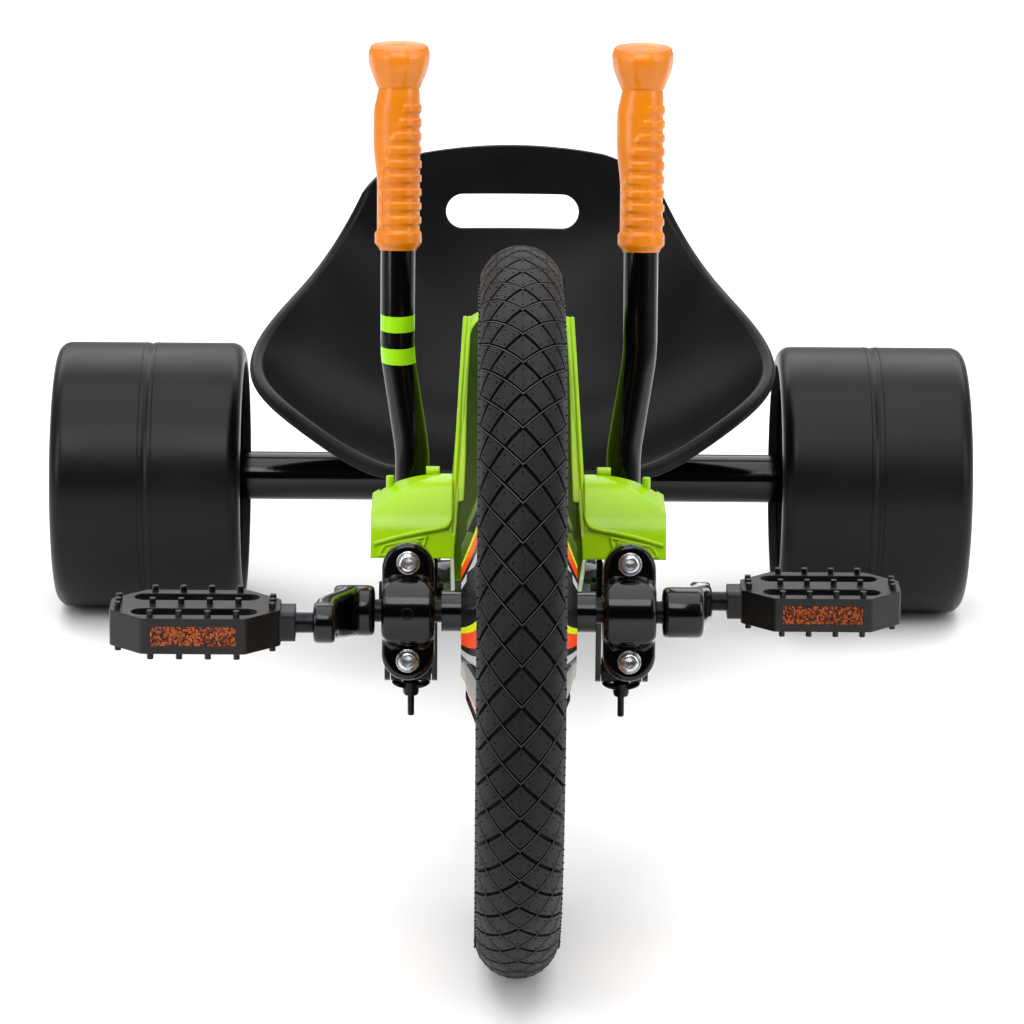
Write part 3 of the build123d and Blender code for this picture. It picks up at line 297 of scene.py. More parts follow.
# %% Orange grip rubber
grip_rubber = finish_stem("orange_thermoplastic_rubber", "#d07602", "#c66a00", (0.24, 0.36), 0.8, 0.05,
                          patch_mm=30, shine=0.4)
grip_rubber["shader"].inputs["Subsurface Weight"].default_value = 0.08
grip_rubber["shader"].inputs["Subsurface Radius"].default_value = (6 * MM, 2 * MM, 0.5 * MM)
wear(both("grip"), grip_rubber)

# %% [markdown]
# The king pin, axle stubs and nuts are steel with a bright zinc plate, which is a metal mirror broken by
# fine crystals. The rods, spindles, bearings and pivot pins are plated black: the same crystals, but dark,
# so only their edges catch the light.

# %% Zinc plated steel
zinc = finish_stem("bright_zinc_plate", "#c9ccd0", "#a6aab0", (0.18, 0.32), 0.6, 0.04, patch_mm=8,
                   metallic=1.0, edge_mm=0.6)
wear(["king_pin"] + both("axle_stub") + both("axle_nut"), zinc)
black_zinc = finish_stem("black_zinc_plate", "#242428", "#18181b", (0.28, 0.42), 0.8, 0.06, patch_mm=6,
                         metallic=1.0, edge_mm=0.8)
wear(["crank_spindle"] + both("pedal_spindle") + both("bearing") + both("steering_rod")
     + both("lever_pivot_pin"), black_zinc)

# %% [markdown]
# Pedal reflectors are amber acrylic with rows of tiny corner prisms behind the face. Cells 1.3 mm across
# stand in for the prisms without modelling thousands of them: each is tilted by a bump, and each is tinted at
# random between dark brown and bright orange, which is painted glitter, the glints that the prisms throw
# back. Real ones are a little finer, so these are drawn coarser to show.

# %% Amber acrylic reflector
PRISM_MM = 1.3
PRISM_DEEP = 1.2 * MM
# Dark brown is the acrylic in shade; the bright orange tint is a painted glint.
amber = finish_stem("amber_prismatic_acrylic", "#2c0c01", "#a04606", (0.10, 0.2), 0.5, 0.02, patch_mm=2.4,
                    ior=1.49, edge_mm=0.5, shine=0.2)
tree = amber["tree"]
# Each cell's colour picks its painted glint tint; its distance drives a real facet bump.
prism_facets_and_painted_glints = add(tree, "ShaderNodeTexVoronoi", {"Scale": per(PRISM_MM), "Randomness": 0.35}, Vector=amber["spot"])
tree.links.new(prism_facets_and_painted_glints.outputs["Color"], amber["colour"].inputs["Fac"])
facet = add(tree, "ShaderNodeBump", {"Strength": 0.9, "Distance": PRISM_DEEP},
            Height=prism_facets_and_painted_glints.outputs["Distance"], Normal=amber["skin"].outputs["Normal"])
tree.links.new(facet.outputs["Normal"], amber["shader"].inputs["Normal"])
wear(both("pedal_reflectors"), amber)

# %% [markdown]
# The wheel discs are printed on black plastic: lime, red-orange and pale grey sectors that sweep round
# the hub. The print turns with the wheel, so its colours come from the angle and distance about the axle:
# adding some of the distance to the angle is what bends straight sectors into a sweep.

# %% Printed wheel discs
AXLE = Vector((0.0, -0.365, 0.258))
SWEEP_PER_METRE = 6.0
SECTORS = 6
PRINT_BLACK, PRINT_LIME, PRINT_RED, PRINT_GREY = "#121213", "#c6d80a", "#e8420d", "#b9bbbd"
PRINT_STOPS = ((0.22, PRINT_LIME), (0.30, PRINT_RED), (0.48, PRINT_BLACK), (0.56, PRINT_GREY),
               (0.66, PRINT_BLACK))
disc_print = finish_stem("printed_polypropylene_disc", "#0e0e0f", "#161618", (0.20, 0.32), 1.5, 0.03)
tree = disc_print["tree"]
from_axle = add(tree, "ShaderNodeVectorMath", {"operation": "SUBTRACT"}, _0=disc_print["spot"])
from_axle.inputs[1].default_value = AXLE
split = add(tree, "ShaderNodeSeparateXYZ", Vector=from_axle.outputs["Vector"])
around = add(tree, "ShaderNodeMath", {"operation": "ARCTAN2"}, _0=split.outputs["Z"], _1=split.outputs["Y"])
flat = add(tree, "ShaderNodeCombineXYZ", Y=split.outputs["Y"], Z=split.outputs["Z"])
reach = add(tree, "ShaderNodeVectorMath", {"operation": "LENGTH"}, _0=flat.outputs["Vector"])
sweep = add(tree, "ShaderNodeMath", {"operation": "MULTIPLY_ADD"}, _0=reach.outputs["Value"],
            _2=around.outputs["Value"])
sweep.inputs[1].default_value = SWEEP_PER_METRE
phase = add(tree, "ShaderNodeMath", {"operation": "MULTIPLY"}, _0=sweep.outputs["Value"])
phase.inputs[1].default_value = SECTORS / (2 * math.pi)
lap = add(tree, "ShaderNodeMath", {"operation": "FRACT"}, _0=phase.outputs["Value"])
sectors = add(tree, "ShaderNodeValToRGB", Fac=lap.outputs["Value"])
ramp = sectors.color_ramp
ramp.interpolation = "CONSTANT"
ramp.elements[0].color = linear(PRINT_BLACK)
for stop, hex_colour in PRINT_STOPS:
    ramp.elements.new(stop).color = linear(hex_colour)
ramp.elements.remove(ramp.elements[-1])
tree.links.new(sectors.outputs["Color"], disc_print["shader"].inputs["Base Color"])
wear(both("wheel_disc"), disc_print)

# %% [markdown]
# Tyre rubber is black with soot and takes its surface from a steel mould. It needs four looks. The blocks are
# matt and a little grey. The grooves, the walls of the blocks, the studs and the nubs are painted near black,
# a painted shade for the grooves. The thin ridges in them are painted light grey, a painted highlight, and
# are smoother. The wall is evenly dull.
# A fine diagonal knurl on the blocks is too fine to model, so a wave is drawn over each block's place on the
# flat tread, at 1.7 mm, a little coarser than life, so that it shows.

# %% Four looks of tyre rubber
KNURL_MM = 1.7
KNURL_DEEP = 0.5 * MM
WAVE_PERIOD = 0.444  # one diagonal band of Blender's wave pattern, at a scale of 1
rubber_tread = finish_stem("carbon_black_rubber_tread", "#0b0b0d", "#141417", (0.42, 0.56), 0.8, 0.30,
                           patch_mm=25, edge_mm=0.4, shine=0.15)
# Near black rubber: painted shade on the groove floors and block walls, also used on the studs and nubs.
rubber_painted_shade = finish_stem("carbon_black_rubber_painted_shade", "#030303", "#060606", (0.6, 0.8), 1.0, 0.2,
                            patch_mm=25, edge_mm=0.4, shine=0.1)
# Light grey rubber on the ridge tops: a painted highlight along the groove edges, with a smoother surface.
rubber_painted_highlight = finish_stem("grey_rubber_painted_highlight", "#323236", "#424246", (0.34, 0.46), 0.8, 0.1,
                           patch_mm=25, edge_mm=0.3, shine=0.35)
rubber_wall = finish_stem("carbon_black_rubber_wall", "#0c0c0d", "#131315", (0.5, 0.62), 1.0, 0.12,
                          patch_mm=40, edge_mm=0.4, shine=0.2)
tree = rubber_tread["tree"]
place = add(tree, "ShaderNodeAttribute", {"attribute_name": "tread_place"})
knurl = add(tree, "ShaderNodeTexWave", {"Scale": WAVE_PERIOD * per(KNURL_MM), "bands_direction": "DIAGONAL"},
            Vector=place.outputs["Vector"])
lined = add(tree, "ShaderNodeBump", {"Strength": 0.5, "Distance": KNURL_DEEP}, Height=knurl.outputs["Fac"],
            Normal=rubber_tread["skin"].outputs["Normal"])
tree.links.new(lined.outputs["Normal"], rubber_tread["shader"].inputs["Normal"])
print("finishes", len(bpy.data.materials))

# %% [markdown]
# From here on, finer pieces are laid over the model. Blender could sculpt or sweep each of them, but most
# are turned, moulded or swept forms, and those are rings of points joined one to the next. Two small tools
# are enough for that: equal steps round a circle, and a skin over a row of rings that also closes its ends.

# %% Rings and the skin over them


def circle(count):
    """Cosine and sine of equal steps round a circle."""
    angles = [2 * math.pi * step / count for step in range(count)]
    return [(math.cos(angle), math.sin(angle)) for angle in angles]


def skin_rings(points, faces, rings):
    """Joins rings with the same count of points into a shell, and closes both ends."""
    count = len(rings[0])
    start = len(points)
    for ring in rings:
        points.extend(ring)
    for index in range(len(rings) - 1):
        here = start + index * count
        for step in range(count):
            follow = (step + 1) % count
            faces.append((here + step, here + follow, here + count + follow, here + count + step))
    faces.append(tuple(range(start, start + count)))
    faces.append(tuple(range(len(points) - count, len(points))))


print("a circle of 6 steps starts at", circle(6)[0])

# %% [markdown]
# Points and faces become a mesh, and the mesh a piece that rides on a moving body. Points that fall together
# are joined and all faces are turned outward, so every piece is a clean closed shell. Where a mesh has
# more than one finish, each face is told its own.

# %% A piece from points and faces
SAME_SPOT = 0.001 * MM


def piece_from(name, points, faces, finishes, body, kinds=None, auto=None, places=None):
    """Makes a mesh piece that moves with a body: points in one spot are joined and faces turn outward."""
    mesh = bpy.data.meshes.new(name)
    mesh.from_pydata([tuple(point) for point in points], [], faces)
    for finish in finishes:
        mesh.materials.append(finish["material"])
    if kinds:
        mesh.polygons.foreach_set("material_index", kinds)
    if places:
        laid = mesh.attributes.new("tread_place", "FLOAT_VECTOR", "POINT")
        laid.data.foreach_set("vector", [value for spot in places for value in spot])
    shape = bmesh.new()
    shape.from_mesh(mesh)
    bmesh.ops.remove_doubles(shape, verts=shape.verts, dist=SAME_SPOT)
    bmesh.ops.dissolve_degenerate(shape, edges=shape.edges, dist=SAME_SPOT)
    bmesh.ops.recalc_face_normals(shape, faces=shape.faces)
    shape.to_mesh(mesh)
    shape.free()
    mesh.polygons.foreach_set("use_smooth", [True] * len(mesh.polygons))
    if auto:
        mesh.set_sharp_from_angle(angle=math.radians(auto))
    piece = bpy.data.objects.new(name, mesh)
    bpy.context.scene.collection.objects.link(piece)
    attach(piece, body)
    print(name, len(mesh.polygons), "faces")
    return piece


print("points nearer than", SAME_SPOT / MM, "mm are joined")

# %% [markdown]
# The front tyre is what the photo shows best: a diamond tread. On the real tyre the grooves are ridges in
# the mould. A texture could fake them, but the grooves show in the tyre's outline, so each diamond will be
# its own raised block on a carcass that is sunk to the groove floor. A small map turns a place on the
# unrolled tread (distance round, distance across, height) into a point in space, so all of it is laid out
# flat. The carcass is a ring of the tyre's true section; the wall beside the tread keeps the mould's ribs.

# %% The tyre's map and its carcass
TYRE_R = 258 * MM
TYRE_ROUND = 2 * math.pi * TYRE_R
SECTION_R = 30 * MM
GROOVE_DEEP = 1.9 * MM
TREAD_EDGE = 38 * MM
EDGE_SLOPE = 2.5 * MM
WALL_RIBS = (46 * MM, 57 * MM, 63 * MM, 69 * MM)
RIB_HIGH, RIB_HALF, WALL_SINK = 0.5 * MM, 1.0 * MM, 0.4 * MM
BEAD_ARC = 80 * MM
WALL_THICK = 4 * MM
LAPS, ROWS, INNER_SKIP = 240, 120, 4


def on_tyre(around, across, lift):
    """Point on the tyre, from distances round and across the tread and a height over its skin."""
    turn = around / TYRE_R
    tilt = across / SECTION_R
    out = TYRE_R - SECTION_R + (SECTION_R + lift) * math.cos(tilt)
    return AXLE + Vector(((SECTION_R + lift) * math.sin(tilt), out * math.sin(turn), out * math.cos(turn)))


def wall_lift(across):
    """Height of the carcass over the tyre's skin: sunk below the tread, and ribbed on the wall."""
    edge = abs(across)
    if edge < TREAD_EDGE:
        return -GROOVE_DEEP
    rib = max(math.exp(-((edge - middle) / RIB_HALF) ** 2) for middle in WALL_RIBS)
    return -GROOVE_DEEP * max(0.0, 1 - (edge - TREAD_EDGE) / EDGE_SLOPE) + RIB_HIGH * rib - WALL_SINK


rows = [(-1 + 2 * step / ROWS) * BEAD_ARC for step in range(ROWS + 1)]
section = [(row, wall_lift(row)) for row in rows] + [(row, -WALL_THICK) for row in rows[::-INNER_SKIP]]
points = [on_tyre(TYRE_ROUND * lap / LAPS, row, lift) for lap in range(LAPS) for row, lift in section]
faces, kinds = [], []
for lap in range(LAPS):
    here, there = lap * len(section), (lap + 1) % LAPS * len(section)
    for index in range(len(section)):
        follow = (index + 1) % len(section)
        faces.append((here + index, there + index, there + follow, here + follow))
        on_tread = index < ROWS and abs(rows[index] + rows[index + 1]) / 2 < TREAD_EDGE
        kinds.append(0 if on_tread else 1)
# The groove floor takes the near black painted shade; the wall beside the tread keeps its plain rubber.
carcass = piece_from("front_tyre_carcass", points, faces, [rubber_painted_shade, rubber_wall], "front_wheel", kinds)
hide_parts("front_tyre")

# %% [markdown]
# Sixty diamonds go round the tyre and seven across it. Each has a top that follows the tyre's curve and
# four walls that slope to the groove floor. Blocks at the tread's edge are cut off along it. One function
# makes a block from its middle on the flat tread, and notes the finish of each face as it goes.

# %% One block of the tread
DIAMONDS = 60
PITCH = TYRE_ROUND / DIAMONDS
HALF_ACROSS = 12.5 * MM
GROOVE_HALF = 1.3 * MM
CORNER_STRETCH = 1.41  # a groove is this much longer along a diagonal than square to an edge
GRID = 4
FOOT_LIFT = -GROOVE_DEEP - 0.2 * MM
# GROOVE is the near black rubber, painted shade; RIDGE is the light grey rubber, a painted highlight.
TREAD, GROOVE, RIDGE = 0, 1, 2  # places in the list of the tread's finishes
points, faces, kinds, places = [], [], [], []


def mark(kind, spot):
    """Notes the finish and the flat place of whatever was added last."""
    kinds.extend([kind] * (len(faces) - len(kinds)))
    places.extend([spot] * (len(points) - len(places)))


def tread_point(centre, p, q, shrink, lift):
    """A point of one diamond, where p and q run from -1 to 1 along its two sets of edges."""
    around = centre[0] + (p + q) / 2 * (PITCH / 2 - shrink * CORNER_STRETCH)
    across = centre[1] + (p - q) / 2 * (HALF_ACROSS - shrink * CORNER_STRETCH)
    across = max(-TREAD_EDGE, min(TREAD_EDGE, across))
    places.append((around, across, 0.0))
    return on_tyre(around, across, lift)


def add_block(centre):
    """One raised diamond, closed below the groove floor."""
    base = len(points)
    side = [2 * step / GRID - 1 for step in range(GRID + 1)]
    points.extend([tread_point(centre, p, q, GROOVE_HALF, 0) for p in side for q in side])
    for i in range(GRID):
        for j in range(GRID):
            corner = base + i * (GRID + 1) + j
            faces.append((corner, corner + 1, corner + GRID + 2, corner + GRID + 1))
    mark(TREAD, centre)
    ring = [(i, 0) for i in range(GRID)] + [(GRID, j) for j in range(GRID)]
    ring += [(i, GRID) for i in range(GRID, 0, -1)] + [(0, j) for j in range(GRID, 0, -1)]
    foot = len(points)
    points.extend([tread_point(centre, side[i], side[j], GROOVE_HALF * 0.5, FOOT_LIFT) for i, j in ring])
    brim = [base + i * (GRID + 1) + j for i, j in ring]
    for step in range(len(ring)):
        follow = (step + 1) % len(ring)
        faces.append((brim[step], brim[follow], foot + follow, foot + step))
    faces.append(tuple(range(foot, foot + len(ring))))
    mark(GROOVE, centre)


print("a block is", round((PITCH - 2 * GROOVE_HALF * CORNER_STRETCH) / MM, 1), "mm long")

# %% [markdown]
# On every block stand a few short studs, left by the vents of the mould. They are tiny six-sided pegs, which
# is all that shows at this size. The blocks of one row are shifted by half a pitch against the next, so
# the diamonds nest.

# %% Mould studs and the rows of blocks
ROW_REACH = 3
STUD_PLACES = ((-0.55, -0.55), (0.55, 0.55), (-0.5, 0.5), (0.5, -0.5))
STUD_RINGS = ((0.8, -0.3), (0.7, 0.25))  # radius and height over the skin, in millimetres
STUD_FREE = 2 * MM
STUD_SPOKES = 6


def add_studs(centre):
    """The short studs on one diamond, apart from those that would stand over the tread's edge."""
    for p, q in STUD_PLACES:
        around = centre[0] + (p + q) / 2 * PITCH / 2
        across = centre[1] + (p - q) / 2 * HALF_ACROSS
        if abs(across) <= TREAD_EDGE - STUD_FREE:
            skin_rings(points, faces, [[on_tyre(around + far * MM * c, across + far * MM * s, lift * MM)
                                        for c, s in circle(STUD_SPOKES)] for far, lift in STUD_RINGS])
            mark(GROOVE, (around, across, 0.0))


for row in range(-ROW_REACH, ROW_REACH + 1):
    for lap in range(DIAMONDS):
        centre = (PITCH * (lap + (0.5 if row % 2 else 0.0)), HALF_ACROSS * row)
        add_block(centre)
        add_studs(centre)
print("tread blocks", (2 * ROW_REACH + 1) * DIAMONDS, "of pitch", round(PITCH / MM, 1), "mm")

# %% [markdown]
# The mould also left a thin ridge along one side of the grooves that run outward and up, and a flash line
# round the middle, where its halves met. Each is a small section pushed along its line; the section starts
# below the groove floor, so that nothing floats. Blocks, studs, ridges and flash then become one piece.

# %% Groove ridges, flash line and the finished tread
RIDGE_STEPS = 32
RIDGE_END = 1 * MM
# Sections: distance along the tread or across it, and height over the skin, in millimetres.
RIDGE_SECTION = ((-1.2, -2.1), (-0.9, 0.0), (-0.1, 0.0), (0.2, -2.1))
FLASH_SECTION = ((-0.5, -2.1), (0.0, 0.3), (0.5, -2.1))
FLASH_STEPS = LAPS * 2
for lap in range(DIAMONDS):
    rings = []
    for step in range(RIDGE_STEPS + 1):
        across = (2 * step / RIDGE_STEPS - 1) * (TREAD_EDGE - RIDGE_END)
        along = (lap + 0.5 + abs(across) / (2 * HALF_ACROSS)) * PITCH
        rings.append([on_tyre(along + shift * MM, across, lift * MM) for shift, lift in RIDGE_SECTION])
        places.extend([(along, across, 0.0)] * len(RIDGE_SECTION))
    skin_rings(points, faces, rings)
    # The ridge's top takes the light grey painted highlight; its sides and foot take the near black painted
    # shade.
    kinds.extend([GROOVE, RIDGE, GROOVE, GROOVE] * RIDGE_STEPS + [GROOVE, GROOVE])
start = len(points)
for step in range(FLASH_STEPS):
    along = TYRE_ROUND * step / FLASH_STEPS
    points.extend([on_tyre(along, across * MM, lift * MM) for across, lift in FLASH_SECTION])
    places.extend([(along, 0.0, 0.0)] * len(FLASH_SECTION))
for step in range(FLASH_STEPS):
    here, there = start + step * 3, start + (step + 1) % FLASH_STEPS * 3
    for edge in range(3):
        follow = (edge + 1) % 3
        faces.append((here + edge, here + follow, there + follow, there + edge))
mark(TREAD, (0.0, 0.0, 0.0))
tread = piece_from("front_tyre_tread", points, faces, [rubber_tread, rubber_painted_shade, rubber_painted_highlight],
                   "front_wheel", kinds, auto=40, places=places)

# %% [markdown]
# New tyres carry rubber whiskers where air left the mould. Most are trimmed; stubs of about a millimetre
# stay along both edges of the tread. Each is a small four-sided peg of its own height, from a seeded draw,
# so that the row looks cut by hand and comes out the same in every run.

# %% Vent nubs
random.seed(7)
NUB_PITCH = 7.4 * MM
NUB_ACROSS = 39 * MM
NUB_FOOT_R, NUB_TIP_R, NUB_SINK, NUB_SIDES = 0.9 * MM, 0.6 * MM, 2.4 * MM, 4
points, faces = [], []
for side in (-1, 1):
    for step in range(int(TYRE_ROUND / NUB_PITCH)):
        around = step * NUB_PITCH + random.uniform(-0.6, 0.6) * MM
        tall = random.uniform(0.7, 1.2) * MM
        skin_rings(points, faces, [[on_tyre(around + far * c, side * NUB_ACROSS + far * s, lift)
                                    for c, s in circle(NUB_SIDES)]
                                   for far, lift in ((NUB_FOOT_R, -NUB_SINK), (NUB_TIP_R, tall))])
nubs = piece_from("front_tyre_nubs", points, faces, [rubber_painted_shade], "front_wheel")

# %% [markdown]
# Each grip is one moulding, the same on both sides: a chamfered collar, nine flat ribs for the fingers, a
# smooth swell for the palm and a bowl-shaped end with ten flats and a level top. It is drawn as rings
# along the lever's axis whose radius depends on the height and on the direction, because the ribs stop
# where the swell begins.

# %% The grip's form, in millimetres
COLLAR_FOOT_R, COLLAR_FLARE, COLLAR_CHAMFER, COLLAR_TOP = 13.6, 3.6, 1.2, 15
GRIP_CORE_R = 15.6
RIB_COUNT, RIB_FIRST, RIB_PITCH, RIB_STAND = 9, 22, 10.2, 1.25
RIB_TOP_HALF, RIB_FOOT_HALF = 2.2, 3.4
PALM_SWELL, PALM_FOOT, PALM_FULL, PALM_FADE = 3.0, 45, 80, 98
PALM_SPREAD = 0.75  # angle, in radians, over which the swell dies away
NECK_FOOT, NECK_DEEP = 112, 0.5
BOWL_FOOT, BOWL_FLARE = 119, 7.0
BRIM_FOOT, BRIM_R, BRIM_ROUND = 144, 22.4, 1.4
GRIP_TOP = 149
FLATS, FLAT_DEPTH = 10, 0.8


def ease(value, start, end):
    """Smooth step from 0 at start to 1 at end."""
    share = min(1.0, max(0.0, (value - start) / (end - start)))
    return share * share * (3 - 2 * share)


def grip_radius(height, swing):
    """Radius at a height; swing is the angle from the palm side."""
    if height < COLLAR_TOP:
        chamfer = COLLAR_CHAMFER * ease(height, 12, COLLAR_TOP)
        return COLLAR_FOOT_R + COLLAR_FLARE * ease(height, 0, 6) - chamfer
    if height < BOWL_FOOT:
        palm = ease(height, PALM_FOOT, PALM_FULL) * (1 - ease(height, PALM_FADE, BOWL_FOOT))
        swell = PALM_SWELL * math.exp(-(swing / PALM_SPREAD) ** 2) * palm
        ribs_from = 0.5 + 1.35 * ease(height, PALM_FOOT, 118)
        rib = 0.0
        for index in range(RIB_COUNT):
            off = abs(height - RIB_FIRST - index * RIB_PITCH)
            rib = max(rib, 1 - ease(off, RIB_TOP_HALF, RIB_FOOT_HALF))
        ribbed = RIB_STAND * rib * ease(swing, ribs_from, ribs_from + 0.25)
        return GRIP_CORE_R + swell + ribbed - NECK_DEEP * ease(height, NECK_FOOT, BOWL_FOOT)
    if height < BRIM_FOOT:
        return GRIP_CORE_R + BOWL_FLARE * math.sin(math.pi / 2 * ease(height, 117, GRIP_TOP) ** 0.75)
    return BRIM_R - BRIM_ROUND * ease(height, BRIM_FOOT, 149.3)


def grip_facet(height, angle):
    """Share of the radius left where the bowl-shaped end has flats."""
    side = 2 * math.pi / FLATS
    flat = math.cos(side / 2) / math.cos(angle % side - side / 2)
    return 1 - (1 - flat) * FLAT_DEPTH * ease(height, BOWL_FOOT, 130)


print("grip radius at its palm and brim", [round(grip_radius(high, 0), 1) for high in (90, BRIM_FOOT)], "mm")

# %% [markdown]
# The lever leans back by ten degrees, so the rings are laid along that leaning axis. Only the top is level
# with the ground: towards the end each ring is sheared until it lies flat. A shallow dish closes it.

# %% Grips
GRIP_FOOT = (89 * MM, -171.02 * MM, 475 * MM)
GRIP_LEAN = math.radians(10)
GRIP_LONG_MM, RING_STEP_MM = 149.27, 0.75
GRIP_SPOKES = 64
END_DISH = ((0.86, 0.25), (0.8, -0.5), (0.4, -0.1), (0.05, 0.1))  # share of the brim, and lift in mm
lever_up = Vector((0, math.sin(GRIP_LEAN), math.cos(GRIP_LEAN)))
lever_front = Vector((0, -math.cos(GRIP_LEAN), math.sin(GRIP_LEAN)))
palm_side = Vector((-1, 0, 0))
SIDES = (("left", 1), ("right", -1))


def grip_ring(foot, height):
    """One ring of a grip, a height in millimetres above its foot."""
    ring = []
    for step in range(GRIP_SPOKES):
        angle = 2 * math.pi * step / GRIP_SPOKES
        swing = min(angle, 2 * math.pi - angle)
        radius = grip_radius(height, swing) * grip_facet(height, angle) * MM
        level = -radius * math.sin(angle) * math.tan(GRIP_LEAN) * ease(height, 116, GRIP_TOP)
        ring.append(foot + lever_up * (height * MM + level) + palm_side * radius * math.cos(angle)
                    + lever_front * radius * math.sin(angle))
    return ring


for side_name, side in SIDES:
    foot = Vector((side * GRIP_FOOT[0], GRIP_FOOT[1], GRIP_FOOT[2]))
    heights = [step * RING_STEP_MM for step in range(int(GRIP_LONG_MM / RING_STEP_MM) + 1)]
    rings = [grip_ring(foot, height) for height in heights]
    brim, end = rings[-1], foot + lever_up * heights[-1] * MM
    for share, lift in END_DISH:
        rings.append([end + lever_up * lift * MM + (spot - end) * share for spot in brim])
    points, faces = [], []
    skin_rings(points, faces, rings)
    grip = piece_from("moulded_grip_" + side_name, points, faces, [grip_rubber], "lever_" + side_name,
                      auto=50)
    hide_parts("grip_" + side_name)

# %% [markdown]
# The two clamps hold the front axle in the fork ends. Each cap is a die-cast, coated piece: an upright pill
# with an arch over the bearing in the middle and flat seats for its two bolts. A height map over the pill's
# outline gives that in a few lines, and every edge comes out rounded as on a casting.

# %% The clamp cap's form, in millimetres
FORK_TILT = math.radians(12.2)
CLAMP_X = 78 * MM
CAP_HALF_W, CAP_HALF_H = 18.5, 48.5
BOLT_SEAT = 10.0
ARCH_R = 27.0
EDGE_R = 3.6
CAP_BORE = 20.2
CAP_BACK = 0.3
fork_back = Vector((0, math.cos(FORK_TILT), -math.sin(FORK_TILT)))
fork_up = Vector((0, math.sin(FORK_TILT), math.cos(FORK_TILT)))


def on_clamp(side, across, out, high):
    """Point in the clamp's own axes: across, forward from the axle, and up the fork plane."""
    return AXLE + Vector((side * CLAMP_X + across * MM, 0, 0)) - fork_back * out * MM + fork_up * high * MM


def past_straight(high):
    """How far a height lies beyond the pill's straight sides."""
    return max(0.0, abs(high) - (CAP_HALF_H - CAP_HALF_W))


def cap_half_width(high):
    """Half width of the pill outline at a height."""
    return math.sqrt(max(0.0, CAP_HALF_W ** 2 - past_straight(high) ** 2))


def cap_face(across, high):
    """How far the cap's face stands in front of the axle."""
    inset = min(CAP_HALF_W - math.hypot(across, past_straight(high)), EDGE_R)
    arch = math.sqrt(max(0.0, ARCH_R ** 2 - high ** 2)) - BOLT_SEAT
    flank = (ARCH_R - abs(high)) * 1.1
    raised = 1 - ease(abs(across), 6 + flank, 10 + flank)
    rounding = EDGE_R - math.sqrt(max(0.0, EDGE_R ** 2 - (EDGE_R - inset) ** 2))
    return BOLT_SEAT + max(0.0, arch) * raised - rounding


print("cap stands", round(cap_face(0, 0), 1), "mm before the axle")

# %% [markdown]
# The map becomes a grid whose rows crowd towards the pill's ends, where the outline turns fastest. The
# grid's border is then carried back to the fork's plane, leaving the bore that the axle runs through.

# %% Clamp caps
CAP_ROWS, CAP_COLUMNS = 97, 33


def cap_row_height(row):
    """Height of one row of the grid, in millimetres."""
    return -CAP_HALF_H * math.cos(math.pi * row / (CAP_ROWS - 1))


for side_name, side in SIDES:
    points, faces = [], []
    for row in range(CAP_ROWS):
        high = cap_row_height(row)
        for column in range(CAP_COLUMNS):
            across = -cap_half_width(high) * math.cos(math.pi * column / (CAP_COLUMNS - 1))
            points.append(on_clamp(side, across, cap_face(across, high), high))
    for row in range(CAP_ROWS - 1):
        for column in range(CAP_COLUMNS - 1):
            corner = row * CAP_COLUMNS + column
            faces.append((corner, corner + 1, corner + CAP_COLUMNS + 1, corner + CAP_COLUMNS))
    upward, downward = list(range(CAP_ROWS)), list(range(CAP_ROWS - 1, -1, -1))
    rim = [row * CAP_COLUMNS for row in upward] + [row * CAP_COLUMNS + CAP_COLUMNS - 1 for row in downward]
    start = len(points)
    for edge, order in ((-1, upward), (1, downward)):
        for row in order:
            high = cap_row_height(row)
            bore = math.sqrt(max(0.0, CAP_BORE ** 2 - high ** 2))
            points.append(on_clamp(side, edge * cap_half_width(high), max(CAP_BACK, bore), high))
    for row in range(CAP_ROWS - 1):
        far = start + 2 * CAP_ROWS - 1 - row
        faces.append((start + row, start + row + 1, far - 1, far))
    for step in range(len(rim)):
        follow = (step + 1) % len(rim)
        faces.append((rim[step], rim[follow], start + follow, start + step))
    cap = piece_from("cast_clamp_cap_" + side_name, points, faces, [powder_coat], "frame", auto=50)
    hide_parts("clamp_cap_" + side_name)

# %% [markdown]
# Each clamp bolt has a plain washer, a pan head with a six-sided socket, and a nut behind. They are turned
# parts, so a list of radius and depth pairs is spun into rings; the socket and the nut use the same spin
# with a radius that follows a hexagon.

# %% Clamp bolts
BOLT_HIGH = 34.5
BOLT_SPOKES = 48
# Columns: radius, distance before the axle (both in millimetres), and 1 where the ring is six-sided.
HEAD_RINGS = ((4.0, 10.2, 0), (8.3, 10.2, 0), (8.3, 11.3, 0), (7.9, 11.6, 0), (6.9, 11.6, 0), (6.9, 13.8, 0),
              (6.5, 15.0, 0), (5.4, 15.9, 0), (4.0, 16.2, 0), (3.5, 16.0, 1), (3.4, 12.8, 1), (0.5, 12.2, 1))
NUT_RINGS = ((4.0, -13.2, 0), (8.3, -13.2, 0), (8.3, -14.4, 0), (7.4, -14.4, 1), (7.4, -18.6, 1),
             (6.6, -19.2, 0), (4.2, -19.2, 0), (4.0, -20.6, 0), (0.5, -21.0, 0))


def six_sided(radius, angle):
    """Distance to a hexagon's side in one direction; the radius is that of its corners."""
    return radius * math.cos(math.pi / 6) / math.cos((angle + math.pi / 6) % (math.pi / 3) - math.pi / 6)


def bolt_ring(side, high, radius, out, hexed):
    """One ring of a clamp bolt, round or six-sided."""
    ring = []
    for step in range(BOLT_SPOKES):
        angle = 2 * math.pi * step / BOLT_SPOKES
        far = six_sided(radius, angle) if hexed else radius
        ring.append(on_clamp(side, far * math.cos(angle), out, high + far * math.sin(angle)))
    return ring


